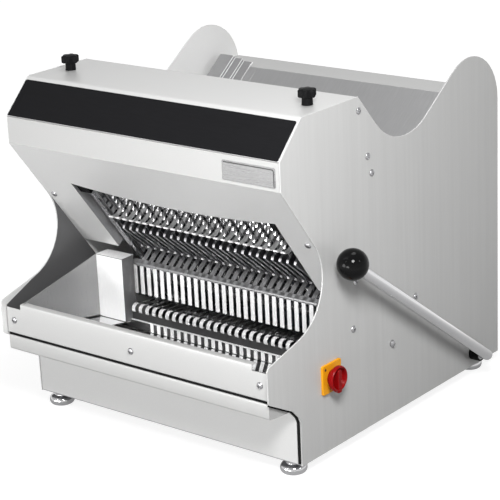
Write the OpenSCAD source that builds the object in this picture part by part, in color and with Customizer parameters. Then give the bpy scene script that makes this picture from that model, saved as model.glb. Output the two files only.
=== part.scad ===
// Counter-top bread slicer: two sheet side panels, a hood over the upper half
// of two opposed blade frames, a tilted loaf bed fed from the top rear, a hand
// lever that swings the pusher, an outfeed trough, a crumb drawer and a belt
// drive below the bed. Heights are counted from the lower edge of the panels.

/* [Housing] */
// Width over the two side panels
machine_w = 560; // [480:1:700]
// Side panel sheet thickness
panel_t = 2; // [1.5:0.5:4]
// Cover sheet thickness
cover_t = 1.5; // [1:0.25:2.5]
// Gap between a cover's end and the side panel
cover_gap = 0.5; // [0.2:0.1:1.5]
// Distance from the origin to the rear wall
rear_y = 300; // [270:1:360]
// Distance from the origin to the front apron
tip_y = 346; // [330:1:380]
// Distance from the origin to the lower front edge of the panels
base_y = 270; // [250:1:290]
// Height of the upright hood face
face_rise = 46; // [35:0.5:60]
// Height of the banded hood face
band_rise = 54.7; // [40:0.1:70]
// Distance from the origin to the upright hood face
face_y = 297; // [290:1:310]
// Slope of the banded hood face
band_a = 45; // [35:1:55]
// Distance from the origin to the rear corner of the hood
hood_back_y = 101; // [80:1:120]
// Slope of the hood's rear edge
hood_back_a = 49; // [40:1:60]
// Height of the rear ears
ear_h = 543; // [520:1:600]
// Radius of the rear ears
ear_r = 88; // [60:1:100]
// Slope of the ears' front edge
ear_a = 34; // [28:1:40]
// Radius of the loading valley
valley_r = 105; // [80:1:120]
// Radius of the round cut-out beside the mouth
cut_r = 87; // [70:1:95]
// Slope of the edge between the cut-out and the apron
cut_a = 14.3; // [8:0.1:20]
// Foot height
foot_h = 22; // [15:1:40]
// Foot radius
foot_r = 20; // [14:1:26]
// Inset of the feet from the panel sides
foot_in = 31; // [26:1:60]

/* [Cutting unit] */
// Tilt of the bed below level, towards the front
tilt = 36.87; // [34:0.01:39]
// Distance from the origin to the cutting line
cut_y = 95; // [90:1:100]
// Height of the cutting line
cut_z = 225; // [220:1:230]
// Distance from the cutting plane to the funnel panel
funnel_u = 30; // [28:0.5:34]
// Width of the left cheek beside the mouth
left_cheek = 83; // [78:1:100]
// Width of the right cheek beside the mouth
right_cheek = 55; // [50:1:80]
// Slice thickness
pitch = 15; // [10:0.5:20]
// Blade width
blade_w = 12; // [8:0.5:12]
// Blade thickness
blade_t = 0.8; // [0.5:0.1:1.2]
// Tooth spacing along a blade
tooth = 12; // [8:1:16]
// Tooth depth
tooth_d = 1.6; // [0.8:0.1:2.5]
// Clear loaf height under the upper comb
loaf_h = 112; // [100:1:120]
// Slot width for the blades in the combs
slot_w = 6; // [4:0.5:8]
// Crank throw, half of a frame's stroke
throw_r = 20; // [12:1:20]
// Frame side rod radius
rod_r = 5; // [4:0.5:5]
// Running clearance of shafts and rods
run_c = 0.06; // [0.02:0.01:0.1]
// Length of the bed behind the blades
bed_len = 410; // [390:1:420]

/* [Drive] */
// Crankshaft journal radius
crank_r = 12; // [9:0.5:14]
// Crank web radius
web_r = 36; // [35:0.5:40]
// Crank pin radius
pin_r = 8; // [6:0.5:9]
// Drive pulley radius
pulley_r = 52; // [44:1:55]
// Motor pulley radius
motor_pulley_r = 24; // [18:1:28]
// Motor shaft radius
motor_shaft_r = 7; // [5:0.5:9]
// Motor radius
motor_r = 48; // [40:1:50]
// Motor length
motor_l = 180; // [140:1:200]

/* [Lever] */
// Distance from the origin to the lever shaft
lever_y = 216; // [210:1:222]
// Height of the lever shaft
lever_z = 26; // [24:1:32]
// Lever shaft radius
lever_shaft_r = 10; // [8:0.5:11]
// Lever rod radius
lever_rod_r = 9.5; // [7:0.5:11]
// Lever length from shaft to ball centre
lever_l = 475; // [420:1:500]
// Lever angle above level, leaning to the front
lever_a = 35.8; // [30:0.1:40]
// Ball grip radius
ball_r = 25; // [18:0.5:26]
// Gap between the ball grip and the side panel
ball_gap = 7; // [4:0.5:15]
// Pusher height above the bed
pusher_h = 85; // [60:1:88]
// Pusher fin thickness
fin_t = 5; // [3:0.5:8]

/* [Small parts] */
// Panel screw head radius
screw_r = 5.5; // [4:0.5:7]
// Panel screw shank radius
shank_r = 2.5; // [2:0.25:3]
// Switch plate width
switch_w = 48; // [40:1:56]
// Switch plate thickness
switch_t = 4; // [3:0.5:6]
// Switch knob radius
switch_r = 17; // [13:0.5:20]
// Switch knob depth
switch_d = 21; // [14:1:26]
// Thumb knob radius
knob_r = 15; // [11:0.5:18]
// Thumb knob height
knob_h = 29; // [22:1:34]
// Blank plate width
plate_w = 100; // [60:1:110]
// Blank plate height
plate_h = 31; // [20:1:34]
// Crumb tray depth behind the drawer front
tray_l = 222; // [180:1:225]
// Crumb tray wall height
tray_h = 56; // [30:1:60]

/* [Hidden] */
$fn = 48;

hw = machine_w / 2;
inner = hw - panel_t;
cx = inner - cover_gap;
xl = -hw + left_cheek;
xr = hw - right_cheek;
xc = (xl + xr) / 2;
wall_t = 4;
blade_n = 2 * floor((xr - xl - 47) / pitch / 2) + 2;
blade_x = [for (k = [0 : blade_n - 1]) xc + (k - (blade_n - 1) / 2) * pitch];
comb_w = pitch - slot_w;

function uv(u, v) = [-cut_y + u * cos(tilt) - v * sin(tilt),
                     cut_z + u * sin(tilt) + v * cos(tilt)];
function unit(a) = a / norm(a);
function left_of(a, b) = let (d = unit(b - a)) [-d[1], d[0]];
function side(p, d) = [for (i = [0 : len(p) - 1])
  let (n0 = i > 0 ? left_of(p[i - 1], p[i]) : left_of(p[0], p[1]),
       n1 = i < len(p) - 1 ? left_of(p[i], p[i + 1]) : n0)
  p[i] + d * (n0 + n1) / (1 + n0 * n1)];
function strip(p, d) = let (q = side(p, d))
  concat(p, [for (i = [len(p) - 1 : -1 : 0]) q[i]]);
function arc(c, r, a0, a1, n) =
  [for (i = [0 : n]) c + r * [cos(a0 + (a1 - a0) * i / n), sin(a0 + (a1 - a0) * i / n)]];

module body() translate([0, 0, foot_h]) children();
module tilted() translate([0, -cut_y, cut_z]) rotate([tilt, 0, 0]) children();
module along_x(x0, x1) translate([x0, 0, 0]) rotate([90, 0, 90])
  linear_extrude(height = x1 - x0) children();
module sheet(p, t, x0, x1) along_x(x0, x1) polygon(strip(p, t));
module rod_x(x0, x1, r, c) translate([x0, c[0], c[1]]) rotate([0, 90, 0])
  cylinder(h = x1 - x0, r = r);
module box(x0, x1, y0, y1, z0, z1) translate([x0, y0, z0]) cube([x1 - x0, y1 - y0, z1 - z0]);

// Side view points of the housing
face_bot_v = (-cut_y - funnel_u * cos(tilt) + face_y) / sin(tilt);
face_bot = uv(-funnel_u, face_bot_v);
band_low = face_bot[1] + face_rise;
hood_h = band_low + band_rise;
band_top_y = -(face_y - (hood_h - band_low) / tan(band_a));
cut_c = uv(-funnel_u - cut_r, 169);
cut_end = cut_c + cut_r * [sin(cut_a), -cos(cut_a)];
tip_top = [-tip_y, cut_end[1] - (tip_y + cut_end[0]) * tan(cut_a)];
tip_low = tip_top[1] - 55;
ear_c = [rear_y - ear_r, ear_h - ear_r];
ear_t = ear_c + ear_r * [-sin(ear_a), cos(ear_a)];
hood_corner = [-hood_back_y, hood_h];
valley_y = (hood_corner[1] - ear_t[1] + ear_t[0] * tan(ear_a) + hood_corner[0] * tan(hood_back_a))
  / (tan(ear_a) + tan(hood_back_a));
valley_p = [valley_y, ear_t[1] - (ear_t[0] - valley_y) * tan(ear_a)];
valley_dir = unit([cos(ear_a) - cos(hood_back_a), sin(ear_a) + sin(hood_back_a)]);
valley_c = valley_p + valley_r / sin((180 - ear_a - hood_back_a) / 2) * valley_dir;
notch = [[-tip_y + 4, tip_low - 4], [-base_y - 18, tip_low - 33],
         [-base_y - 5, tip_low - 47], [-base_y, tip_low - 57]];
panel_2d = concat(
  [face_bot], arc(cut_c, cut_r, tilt, cut_a - 90, 14),
  [tip_top + [4, 1], tip_top + [0, -4], [-tip_y, tip_low]], notch,
  [[-base_y, 0], [rear_y, 0]], arc(ear_c, ear_r, 0, 90 + ear_a, 14),
  arc(valley_c, valley_r, ear_a - 90, -90 - hood_back_a, 10),
  [hood_corner, [band_top_y, hood_h], [-face_y, band_low]]);

// Places on the side panels: y, z
screw_at = [[-hood_back_y, hood_h - 22], hood_corner + [21, -98], hood_corner + [31, -127], uv(-54, -16),
            uv(-2, 39), uv(85, -119)];
plug_at = uv(-6, -125);
switch_at = [-base_y + 78, 122];
lever_at = [lever_y, lever_z];

// Cutting unit places in the tilted frame: u to the rear, v upwards
beam_h = 16;
low_v = -60;
top_v = loaf_h + 120;
rod_u = 12;
guide_hi = loaf_h + 78;
guide_lo = -125;
rod_low = guide_lo - 40;
crank_v = -205;
eye_v = crank_v + 82;
crank_at = uv(0, crank_v);
wall_in_l = xl - 2;
wall_in_r = xr + 2;
rod_xs = [xl + 8, xr - 8];
arm_xs = [[xl + 4, xl + 10], [xr - 10, xr - 4]];
bed_x = [xl + 16, xr - 16];
motor_at = crank_at + [97, 1];
belt_x = xl - 48;
belt_w = 10;
groove = 6;
pusher_u = 34;
pusher_v = 5;
trough_rear = [-cut_y - 42, 104];
trough_mid = [-tip_y + 16, 135];
trough_tip = [-tip_y + 3, 150];
guide_x = -hw + 40;
box_y = -cut_y - 60;
box_top = cut_z - 5;
tray_z = 6;
lever_x = hw + ball_r + ball_gap;
lever_dir = [-cos(lever_a), sin(lever_a)];
knob_y = (band_top_y - hood_back_y) / 2 - 6.5;
knob_x = hw - 37;

module screw(r, s, l) {
  difference() {
    union() {
      cylinder(h = 1.6, r = r);
      translate([0, 0, 1.6]) cylinder(h = 1.6, r1 = r, r2 = r * 0.68);
    }
    for (a = [0, 90]) rotate(a) translate([-r * 0.5, -0.6, 1.7]) cube([r, 1.2, 3]);
  }
  translate([0, 0, -l]) cylinder(h = l, r = s);
}
module side_panel(s) {
  x0 = s > 0 ? inner : -hw;
  difference() {
    along_x(x0, x0 + panel_t) polygon(panel_2d);
    for (p = screw_at) rod_x(x0 - 1, x0 + panel_t + 1, shank_r + 0.25, p);
    if (s > 0) {
      rod_x(x0 - 1, x0 + panel_t + 1, shank_r + 0.25, plug_at);
      rod_x(x0 - 1, x0 + panel_t + 1, 9, switch_at);
      rod_x(x0 - 1, x0 + panel_t + 1, lever_shaft_r + 1, lever_at);
    }
  }
}
module left_side_panel() color([0.78, 0.78, 0.78]) body() side_panel(-1);
module right_side_panel() color([0.78, 0.78, 0.78]) body() side_panel(1);

top_2d = [[-hood_back_y, hood_h - 28], hood_corner, [band_top_y, hood_h], [-face_y, band_low]];
module top_cover() color([0.82, 0.82, 0.82]) body() difference() {
  sheet(top_2d, cover_t, -cx, cx);
  for (s = [-1, 1]) translate([s * knob_x, knob_y, hood_h - 10]) cylinder(h = 20, r = 4.3);
}
band_l = (hood_h - band_low) / sin(band_a);
module band_trim() color([0.1, 0.1, 0.1]) body()
  translate([0, -face_y, band_low]) rotate([band_a, 0, 0]) linear_extrude(height = 1.2) {
    r = 7;
    y0 = 4;
    y1 = band_l - 5;
    translate([-cx + 4, y0 + r]) square([2 * cx - 8, y1 - y0 - 2 * r]);
    translate([-cx + 4 + r, y0]) square([2 * cx - 8 - 2 * r, y1 - y0]);
    for (x = [-cx + 4 + r, cx - 4 - r], y = [y0 + r, y1 - r]) translate([x, y]) circle(r);
  }
module blank_plate() color([0.7, 0.7, 0.72]) body()
  box(cx - 6 - plate_w, cx - 6, -face_y - 1, -face_y, face_bot[1] + 5, face_bot[1] + 5 + plate_h);

lip_v = 192;
lip_sag = 17;
cheek_v = 38;
lip_rad = (pow((xr - xl) / 2, 2) + lip_sag * lip_sag) / (2 * lip_sag);
module front_panel() color([0.8, 0.8, 0.8]) body() {
  sheet([[-face_y, band_low - 1.6], face_bot, uv(-funnel_u, face_bot_v - 20)], cover_t, -cx, cx);
  tilted() {
    difference() {
      translate([0, -funnel_u, 0]) rotate([90, 0, 0]) mirror([0, 0, 1])
        linear_extrude(height = cover_t) difference() {
          translate([-cx, cheek_v]) square([2 * cx, face_bot_v - 15 - cheek_v]);
          difference() {
            translate([xl, cheek_v - 1]) square([xr - xl, lip_v + lip_sag - cheek_v + 1]);
            translate([xc, lip_v + lip_rad]) circle(r = lip_rad, $fn = 200);
          }
        }
      for (x = [-inner + 15, inner - 12]) translate([x, -funnel_u - 5, 166]) rotate([-90, 0, 0])
        cylinder(h = 10, r = shank_r + 0.25);
    }
    for (x = [xl - cover_t, xr])
      box(x, x + cover_t, -funnel_u, -funnel_u + 13, cheek_v, guide_hi - 12);
  }
}
comb_back = 186;
hood_back_v = -(hood_corner[0] + cut_y) * sin(tilt) + (hood_h - cut_z) * cos(tilt) - 3.6;
module hood_back() color([0.75, 0.75, 0.75]) body() tilted()
  box(-cx, cx, comb_back, comb_back + cover_t, loaf_h - cover_t, hood_back_v);

module front_apron() color([0.88, 0.88, 0.88]) body() difference() {
  sheet([[-tip_y + 12, tip_top[1] + 3], [-tip_y, tip_top[1] + 3], [-tip_y, tip_low],
         [-tip_y + 9, tip_low]], cover_t, -cx, cx);
  for (x = [-cx + 26, 7, cx - 12]) translate([x, -tip_y - 5, tip_top[1] - 29])
    rotate([-90, 0, 0]) cylinder(h = 10, r = shank_r + 0.25);
}
module trough_sheet() color([0.6, 0.6, 0.62]) body()
  sheet([trough_rear + [0, 16], trough_rear, trough_mid, trough_tip], cover_t, guide_x, xr + 20 + cover_t);
function floor_z(y) = trough_rear[1] + (trough_rear[0] - y)
  * (trough_mid[1] - trough_rear[1]) / (trough_rear[0] - trough_mid[0]);
module guide_wall(x) along_x(x, x + cover_t) polygon([
  [box_y, floor_z(box_y)], [box_y, box_top], [trough_tip[0] + 3, tip_top[1]],
  [trough_tip[0] + 3, trough_tip[1] + 2], trough_mid]);
module left_guide() color([0.85, 0.85, 0.85]) body() {
  guide_wall(guide_x);
  x1 = xl + 17;
  difference() {
    along_x(guide_x, x1) polygon([[box_y, floor_z(box_y)], [box_y, box_top],
      [box_y + 35, box_top], [box_y + 35, 125], [trough_rear[0] - 2, 125],
      [trough_rear[0] - 2, floor_z(trough_rear[0] - 2)]]);
    box(guide_x + cover_t, x1 - cover_t, box_y + cover_t, box_y + 60, 0, box_top - cover_t);
  }
}
module right_guide() color([0.7, 0.7, 0.72]) body() guide_wall(xr + 20);

finger = concat([[comb_back, loaf_h], [-8, loaf_h]], arc([-8, loaf_h + 20], 20, -105, -150, 4));
module upper_comb() color([0.75, 0.75, 0.77]) body() tilted() {
  box(-cx, cx, 62, comb_back, loaf_h - cover_t, loaf_h);
  for (k = [0 : blade_n - 2]) {
    x = xc + (k + 1 - blade_n / 2) * pitch;
    sheet(concat([[70, loaf_h]], [for (i = [1 : len(finger) - 1]) finger[i]]), cover_t,
          x - comb_w / 2, x + comb_w / 2);
  }
}
grid_y = uv(-34, 0);
grid_low = cut_z - 75;
module outfeed_grid() color([0.85, 0.85, 0.86]) body() difference() {
  sheet([uv(15, 0), grid_y, [grid_y[0], grid_low]], cover_t, xl + 17, cx);
  for (x = blade_x) {
    tilted() box(x - slot_w / 2, x + slot_w / 2, -25, 30, -10, 5);
    box(x - slot_w / 2, x + slot_w / 2, grid_y[0] - 5, grid_y[0] + 5, grid_low - 1, grid_y[1] - 4);
  }
  tilted() box(rod_xs[1] - rod_r - 1.5, rod_xs[1] + rod_r + 1.5, -25, 30, -10, 5);
}
low_2d = concat([[-cut_y + 18, cut_z - 102]],
  arc([-cut_y - 45, cut_z - 94], 9, 70, 195, 5), [[-cut_y - 54.5, cut_z - 103]]);
module lower_comb() color([0.85, 0.85, 0.86]) body() {
  for (k = [0 : blade_n - 2]) {
    x = xc + (k + 1 - blade_n / 2) * pitch;
    sheet(low_2d, cover_t, x - comb_w / 2, x + comb_w / 2);
  }
  sheet([low_2d[0], low_2d[0] + 0.25 * (low_2d[1] - low_2d[0])], cover_t, -cx, cx);
}
module bed_plate() color([0.72, 0.72, 0.73]) body() tilted()
  box(bed_x[0], bed_x[1], 19, bed_len, -2, 0);
module bed_bars() color([0.5, 0.5, 0.52]) body() tilted() {
  box(wall_in_l, wall_in_r, 19, 26, -20, -2);
  box(wall_in_l, wall_in_r, bed_len - 90, bed_len - 70, -22, -2);
}
module cover_strip(p, u0, u1) tilted() translate([0, u1, 0]) rotate([90, 0, 0])
  linear_extrude(height = u1 - u0) polygon(strip(p, cover_t));
module left_drive_cover() color([0.6, 0.6, 0.6]) body()
  cover_strip([[xl - 2, 0], [xl - 22, 0], [xl - 22, 6], [xl - 39, 6], [xl - 39, 12],
               [-inner + 10, 12], [-inner + 10, -12], [-inner, -12]], 60, bed_len);
module right_side_cover() color([0.6, 0.6, 0.6]) body()
  cover_strip([[inner, -14], [inner, 0], [xr + 2, 0]], 60, bed_len);

rear_top = uv(bed_len, 0);
module rear_cover() color([0.76, 0.76, 0.76]) body() difference() {
  sheet([[rear_y - 14, 2], [rear_y, 2], [rear_y, rear_top[1]], [rear_top[0] + 2, rear_top[1]]],
        cover_t, -cx, cx);
  for (i = [-4 : 4], z = [70, 120])
    box(i * 26 - 4, i * 26 + 4, rear_y - 5, rear_y + 5, z, z + 34);
  rod_y = [-hw + 70, 60];
  translate([rod_y[0], rear_y - 10, rod_y[1]]) rotate([-90, 0, 0]) cylinder(h = 20, r = 8.2);
}
foot_xy = [for (x = [-hw + foot_in, hw - foot_in], y = [-base_y + 18, rear_y - 44]) [x, y]];
module base_pan() color([0.55, 0.55, 0.56]) body() difference() {
  union() {
    box(-cx, cx, -base_y + 2, rear_y - 3, 0, 2);
    for (x = [-cx, cx - 2]) box(x, x + 2, -base_y + 2, rear_y - 20, 0, 4);
  }
  for (p = foot_xy) translate([p[0], p[1], -1]) cylinder(h = 5, r = 5.2);
}
tray_x = inner - 16;
module tray_runners() color([0.6, 0.6, 0.62]) body() for (s = [-1, 1]) {
  x = s * (tray_x + 5);
  box(x - 8, x + 8, -base_y + 44, -base_y + tray_l, 2, tray_z - 0.3);
  box(x - 1 + s * 3, x + 1 + s * 3, -base_y + 44, -base_y + tray_l, 2, tray_z + 20);
}

module bearing_plate(x0) difference() {
  along_x(x0, x0 + wall_t) polygon([[-12, 2], [rear_y - 24, 2], [rear_y - 24, cut_z + 100],
    uv(bed_len - 20, -cover_t), uv(17, -cover_t), uv(-20, -100), uv(-20, -145)]);
  rod_x(x0 - 1, x0 + wall_t + 1, crank_r + 8, crank_at);
  rod_x(x0 - 1, x0 + wall_t + 1, lever_shaft_r + 4, lever_at);
  rod_x(x0 - 1, x0 + wall_t + 1, motor_shaft_r + 8, motor_at);
  rod_x(x0 - 1, x0 + wall_t + 1, 42, uv(bed_len / 2, -135));
}
module left_bearing_plate() color([0.5, 0.5, 0.52]) body() bearing_plate(wall_in_l - wall_t);
module right_bearing_plate() color([0.5, 0.5, 0.52]) body() bearing_plate(wall_in_r);
module guide_block(x0, x1, v) tilted() difference() {
  box(x0, x1, -24, 24, v - 10, v + 10);
  for (x = rod_xs, u = [-rod_u, rod_u]) translate([x, u, v - 20])
    cylinder(h = 40, r = rod_r + run_c);
}
module upper_guide_blocks() color([0.25, 0.25, 0.27]) body() {
  guide_block(-inner, rod_xs[0] + 15, guide_hi);
  guide_block(rod_xs[1] - 15, inner, guide_hi);
}
module lower_guide_blocks() color([0.25, 0.25, 0.27]) body() {
  guide_block(wall_in_l, rod_xs[0] + 15, guide_lo);
  guide_block(rod_xs[1] - 15, wall_in_r, guide_lo);
}
module ring_x(x0, x1, ro, ri, c) difference() {
  rod_x(x0, x1, ro, c);
  rod_x(x0 - 1, x1 + 1, ri, c);
}
module crank_bearings() color([0.65, 0.65, 0.67]) body() {
  ring_x(wall_in_l - wall_t - 3, wall_in_l + 3, crank_r + 8, crank_r + run_c, crank_at);
  ring_x(wall_in_r - 3, wall_in_r + wall_t + 3, crank_r + 8, crank_r + run_c, crank_at);
}
module lever_bushes() color([0.72, 0.55, 0.3]) body() {
  ring_x(wall_in_l - wall_t - 4, wall_in_l, lever_shaft_r + 4, lever_shaft_r + run_c, lever_at);
  ring_x(wall_in_r, wall_in_r + wall_t + 8, lever_shaft_r + 4, lever_shaft_r + run_c, lever_at);
}

motor_x = xc - 114;
module motor() color([0.35, 0.4, 0.45]) body() difference() {
  union() {
    rod_x(motor_x, motor_x + motor_l - 30, motor_r, motor_at);
    rod_x(motor_x + motor_l - 30, motor_x + motor_l, motor_r - 3, motor_at);
    box(motor_x + 50, motor_x + 120, motor_at[0] - 22, motor_at[0] + 22,
        motor_at[1] + motor_r - 8, motor_at[1] + motor_r + 24);
  }
  rod_x(motor_x - 1, motor_x + 40, motor_shaft_r + run_c, motor_at);
}
module motor_bracket() color([0.3, 0.3, 0.32]) body() difference() {
  union() {
    box(motor_x + 20, motor_x + 130, motor_at[0] - 52, motor_at[0] + 52, 2, 6);
    for (x = [motor_x + 30, motor_x + 110])
      box(x, x + 8, motor_at[0] - 40, motor_at[0] + 40, 6, motor_at[1] - 12);
  }
  rod_x(motor_x, motor_x + motor_l, motor_r, motor_at);
}
belt_a = acos((pulley_r - motor_pulley_r) / norm(motor_at - crank_at));
belt_b = atan2(motor_at[1] - crank_at[1], motor_at[0] - crank_at[0]);
function belt_2d(g) = concat(
  arc(crank_at, pulley_r - groove + g, belt_b + belt_a, belt_b + 360 - belt_a, 28),
  arc(motor_at, motor_pulley_r - groove + g, belt_b - belt_a, belt_b + belt_a, 18));
module drive_belt() color([0.08, 0.08, 0.08]) body()
  along_x(belt_x - belt_w / 2, belt_x + belt_w / 2) difference() {
    polygon(belt_2d(5.5));
    polygon(belt_2d(0.5));
  }
module pulley(r, bore, c) difference() {
  rod_x(belt_x - belt_w / 2 - 4, belt_x + belt_w / 2 + 4, r, c);
  ring_x(belt_x - belt_w / 2 - 0.5, belt_x + belt_w / 2 + 0.5, r + 1, r - groove, c);
  rod_x(belt_x - 30, belt_x + 30, bore, c);
}

module switch_plate() color([0.85, 0.58, 0.1]) body() difference() {
  box(hw, hw + switch_t, switch_at[0] - switch_w / 2, switch_at[0] + switch_w / 2,
      switch_at[1] - switch_w / 2, switch_at[1] + switch_w / 2);
  rod_x(hw - 1, hw + switch_t + 1, 7, switch_at);
}
module switch_body() color([0.2, 0.2, 0.2]) body() difference() {
  box(inner - 30, inner, switch_at[0] - 20, switch_at[0] + 20, switch_at[1] - 22, switch_at[1] + 22);
  rod_x(inner - 12, inner + 1, 6 + run_c, switch_at);
}
module switch_knob() color([0.62, 0.03, 0.06]) body() {
  x0 = hw + switch_t + 0.3;
  rod_x(x0, x0 + switch_d * 0.55, switch_r, switch_at);
  box(x0, x0 + switch_d, switch_at[0] - 5.5, switch_at[0] + 5.5,
      switch_at[1] - switch_r + 1.5, switch_at[1] + switch_r - 1.5);
  rod_x(inner - 11, x0, 6, switch_at);
}
module cable_gland() color([0.12, 0.12, 0.12]) body()
  translate([-hw + 70, rear_y, 60]) rotate([-90, 0, 0]) difference() {
    union() {
      cylinder(h = 6, r = 12);
      translate([0, 0, 6]) cylinder(h = 6, r1 = 10, r2 = 8);
      translate([0, 0, -14]) cylinder(h = 14, r = 8);
    }
    translate([0, 0, -15]) cylinder(h = 30, r = 4.5);
  }
module knob_brackets() color([0.5, 0.5, 0.52]) body() for (s = [-1, 1]) difference() {
  x0 = s > 0 ? knob_x - 14 : -inner;
  box(x0, x0 + inner - knob_x + 14, knob_y - 14, knob_y + 14, hood_h - cover_t - 8, hood_h - cover_t);
  translate([s * knob_x, knob_y, hood_h - 20]) cylinder(h = 30, r = 4 + run_c);
}
module thumb_knob(s) color([0.08, 0.08, 0.08]) body()
  translate([s * knob_x, knob_y, hood_h + 0.3]) {
    cylinder(h = 2, r = 10);
    cylinder(h = knob_h - 14, r = 8);
    translate([0, 0, knob_h - 16]) cylinder(h = 3, r1 = 8, r2 = knob_r);
    translate([0, 0, knob_h - 13]) cylinder(h = 10, r = knob_r);
    translate([0, 0, knob_h - 3]) cylinder(h = 3, r1 = knob_r, r2 = knob_r - 3);
    translate([0, 0, -11]) cylinder(h = 11, r = 4);
  }
module left_thumb_knob() thumb_knob(-1);
module right_thumb_knob() thumb_knob(1);
module feet() color([0.75, 0.75, 0.76]) for (p = foot_xy) translate([p[0], p[1], 0]) {
  cylinder(h = 3, r1 = foot_r - 2, r2 = foot_r);
  translate([0, 0, 3]) cylinder(h = foot_h - 12, r = foot_r);
  translate([0, 0, foot_h - 9]) cylinder(h = 4, r1 = foot_r, r2 = 11);
  translate([0, 0, foot_h - 5]) cylinder(h = 5, r = 11);
  translate([0, 0, foot_h]) cylinder(h = 4.5, r = 5);
}
module right_panel_screws() color([0.8, 0.8, 0.8]) body() for (p = screw_at)
  translate([hw, p[0], p[1]]) rotate([0, 90, 0]) screw(screw_r, shank_r, panel_t);
module left_panel_screws() color([0.8, 0.8, 0.8]) body() for (p = screw_at)
  translate([-hw, p[0], p[1]]) rotate([0, -90, 0]) screw(screw_r, shank_r, panel_t);
module panel_plug() color([0.7, 0.7, 0.7]) body()
  translate([hw, plug_at[0], plug_at[1]]) rotate([0, 90, 0]) {
    cylinder(h = 3, r = screw_r + 0.5);
    translate([0, 0, 3]) cylinder(h = 1.5, r1 = screw_r + 0.5, r2 = screw_r - 2);
    translate([0, 0, -panel_t]) cylinder(h = panel_t, r = shank_r);
  }
module front_screws() color([0.8, 0.8, 0.8]) body() {
  for (x = [-cx + 26, 7, cx - 12]) translate([x, -tip_y, tip_top[1] - 29])
    rotate([90, 0, 0]) screw(screw_r, shank_r, cover_t);
  tilted() for (x = [-inner + 15, inner - 12]) translate([x, -funnel_u, 166])
    rotate([90, 0, 0]) screw(screw_r - 1, shank_r, cover_t);
}

// One blade frame: s is -1 for the front frame and 1 for the rear one
tang = 7;
module blade_frame(s) tilted() {
  u0 = s > 0 ? 3 : -21;
  difference() {
    union() {
      for (v = [low_v, top_v]) box(xl + 1, xr - 1, u0, u0 + 18, v - beam_h / 2, v + beam_h / 2);
      for (x = rod_xs) translate([x, s * rod_u, rod_low]) cylinder(h = top_v - rod_low, r = rod_r);
    }
    for (k = [(s > 0 ? 1 : 0) : 2 : blade_n - 1])
      box(blade_x[k] - blade_t / 2 - 0.1, blade_x[k] + blade_t / 2 + 0.1, s * 7 - blade_w / 2 - 0.1,
          s * 7 + blade_w / 2 + 0.1, low_v + beam_h / 2 - tang, top_v - beam_h / 2 + tang);
  }
  for (m = [-1, 1]) {
    x = lug_x(s, m);
    box(x - 3, x + 3, s * throw_r - 10, s * throw_r + 10, eye_v - 10, low_v - beam_h / 2);
    translate([x + (m * s > 0 ? 3 : -5.5), s * throw_r, eye_v]) rotate([0, 90, 0])
      cylinder(h = 2.5, r = 6);
  }
}
// Crank group places: m is -1 for the left group and 1 for the right one
function group_x(m) = xc + m * (xr - xl) / 2 - m * 52;
function rod_mid(s, m) = group_x(m) - s * m * 9;
function lug_x(s, m) = rod_mid(s, m) - s * m * 11;
module blade_set(s) tilted() for (k = [(s > 0 ? 1 : 0) : 2 : blade_n - 1]) {
  v0 = low_v + beam_h / 2 - tang + 0.2;
  v1 = top_v - beam_h / 2 + tang - 0.2;
  n = floor((v1 - v0 - 44) / tooth);
  translate([blade_x[k] - blade_t / 2, 0, 0]) rotate([90, 0, 90]) linear_extrude(height = blade_t)
    polygon(concat([[s * 7 - blade_w / 2, v1], [s * 7 - blade_w / 2, v0], [s * 7 + blade_w / 2, v0]],
      [for (i = [0 : n], j = [0, 1]) [s * 7 + blade_w / 2 - j * tooth_d, v0 + 22 + (i + j / 2) * tooth]],
      [[s * 7 + blade_w / 2, v0 + 22 + (n + 1) * tooth], [s * 7 + blade_w / 2, v1]]));
}
module frame_a() color([0.45, 0.47, 0.5]) body() blade_frame(-1);
module blades_a() color([0.8, 0.8, 0.82]) body() blade_set(-1);
module frame_b() color([0.5, 0.52, 0.55]) body() blade_frame(1);
module blades_b() color([0.8, 0.8, 0.82]) body() blade_set(1);

module crankshaft() color([0.45, 0.45, 0.48]) body() {
  x0 = belt_x - belt_w / 2 - 8;
  x1 = group_x(-1);
  x2 = group_x(1);
  rod_x(x0, x1 - 15, crank_r, crank_at);
  rod_x(x1 + 15, x2 - 15, crank_r, crank_at);
  rod_x(x2 + 15, wall_in_r + wall_t + 4, crank_r, crank_at);
  for (m = [-1, 1]) {
    for (d = [-18, 0, 18]) rod_x(group_x(m) + d - 3, group_x(m) + d + 3, web_r, crank_at);
    for (s = [-1, 1]) rod_x(rod_mid(s, m) - 6, rod_mid(s, m) + 6, pin_r, uv(s * throw_r, crank_v));
  }
}
module drive_pulley() color([0.4, 0.4, 0.42]) body() pulley(pulley_r, crank_r, crank_at);
module conrods(s) for (m = [-1, 1]) {
  x = rod_mid(s, m);
  tilted() difference() {
    union() {
      translate([x - 5, s * throw_r, crank_v]) rotate([0, 90, 0]) cylinder(h = 10, r = pin_r + 6);
      translate([x - 5, s * throw_r, eye_v]) rotate([0, 90, 0]) cylinder(h = 10, r = 12);
      box(x - 4, x + 4, s * throw_r - 7, s * throw_r + 7, crank_v, eye_v);
    }
    translate([x - 6, s * throw_r, crank_v]) rotate([0, 90, 0]) cylinder(h = 12, r = pin_r + run_c);
    translate([x - 6, s * throw_r, eye_v]) rotate([0, 90, 0]) cylinder(h = 12, r = 6.5);
  }
}
module conrods_a() color([0.6, 0.6, 0.63]) body() conrods(-1);
module conrods_b() color([0.65, 0.65, 0.68]) body() conrods(1);
module motor_pulley() color([0.4, 0.4, 0.42]) body() {
  pulley(motor_pulley_r, 2, motor_at);
  rod_x(belt_x - 3, motor_x + 30, motor_shaft_r, motor_at);
}

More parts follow.
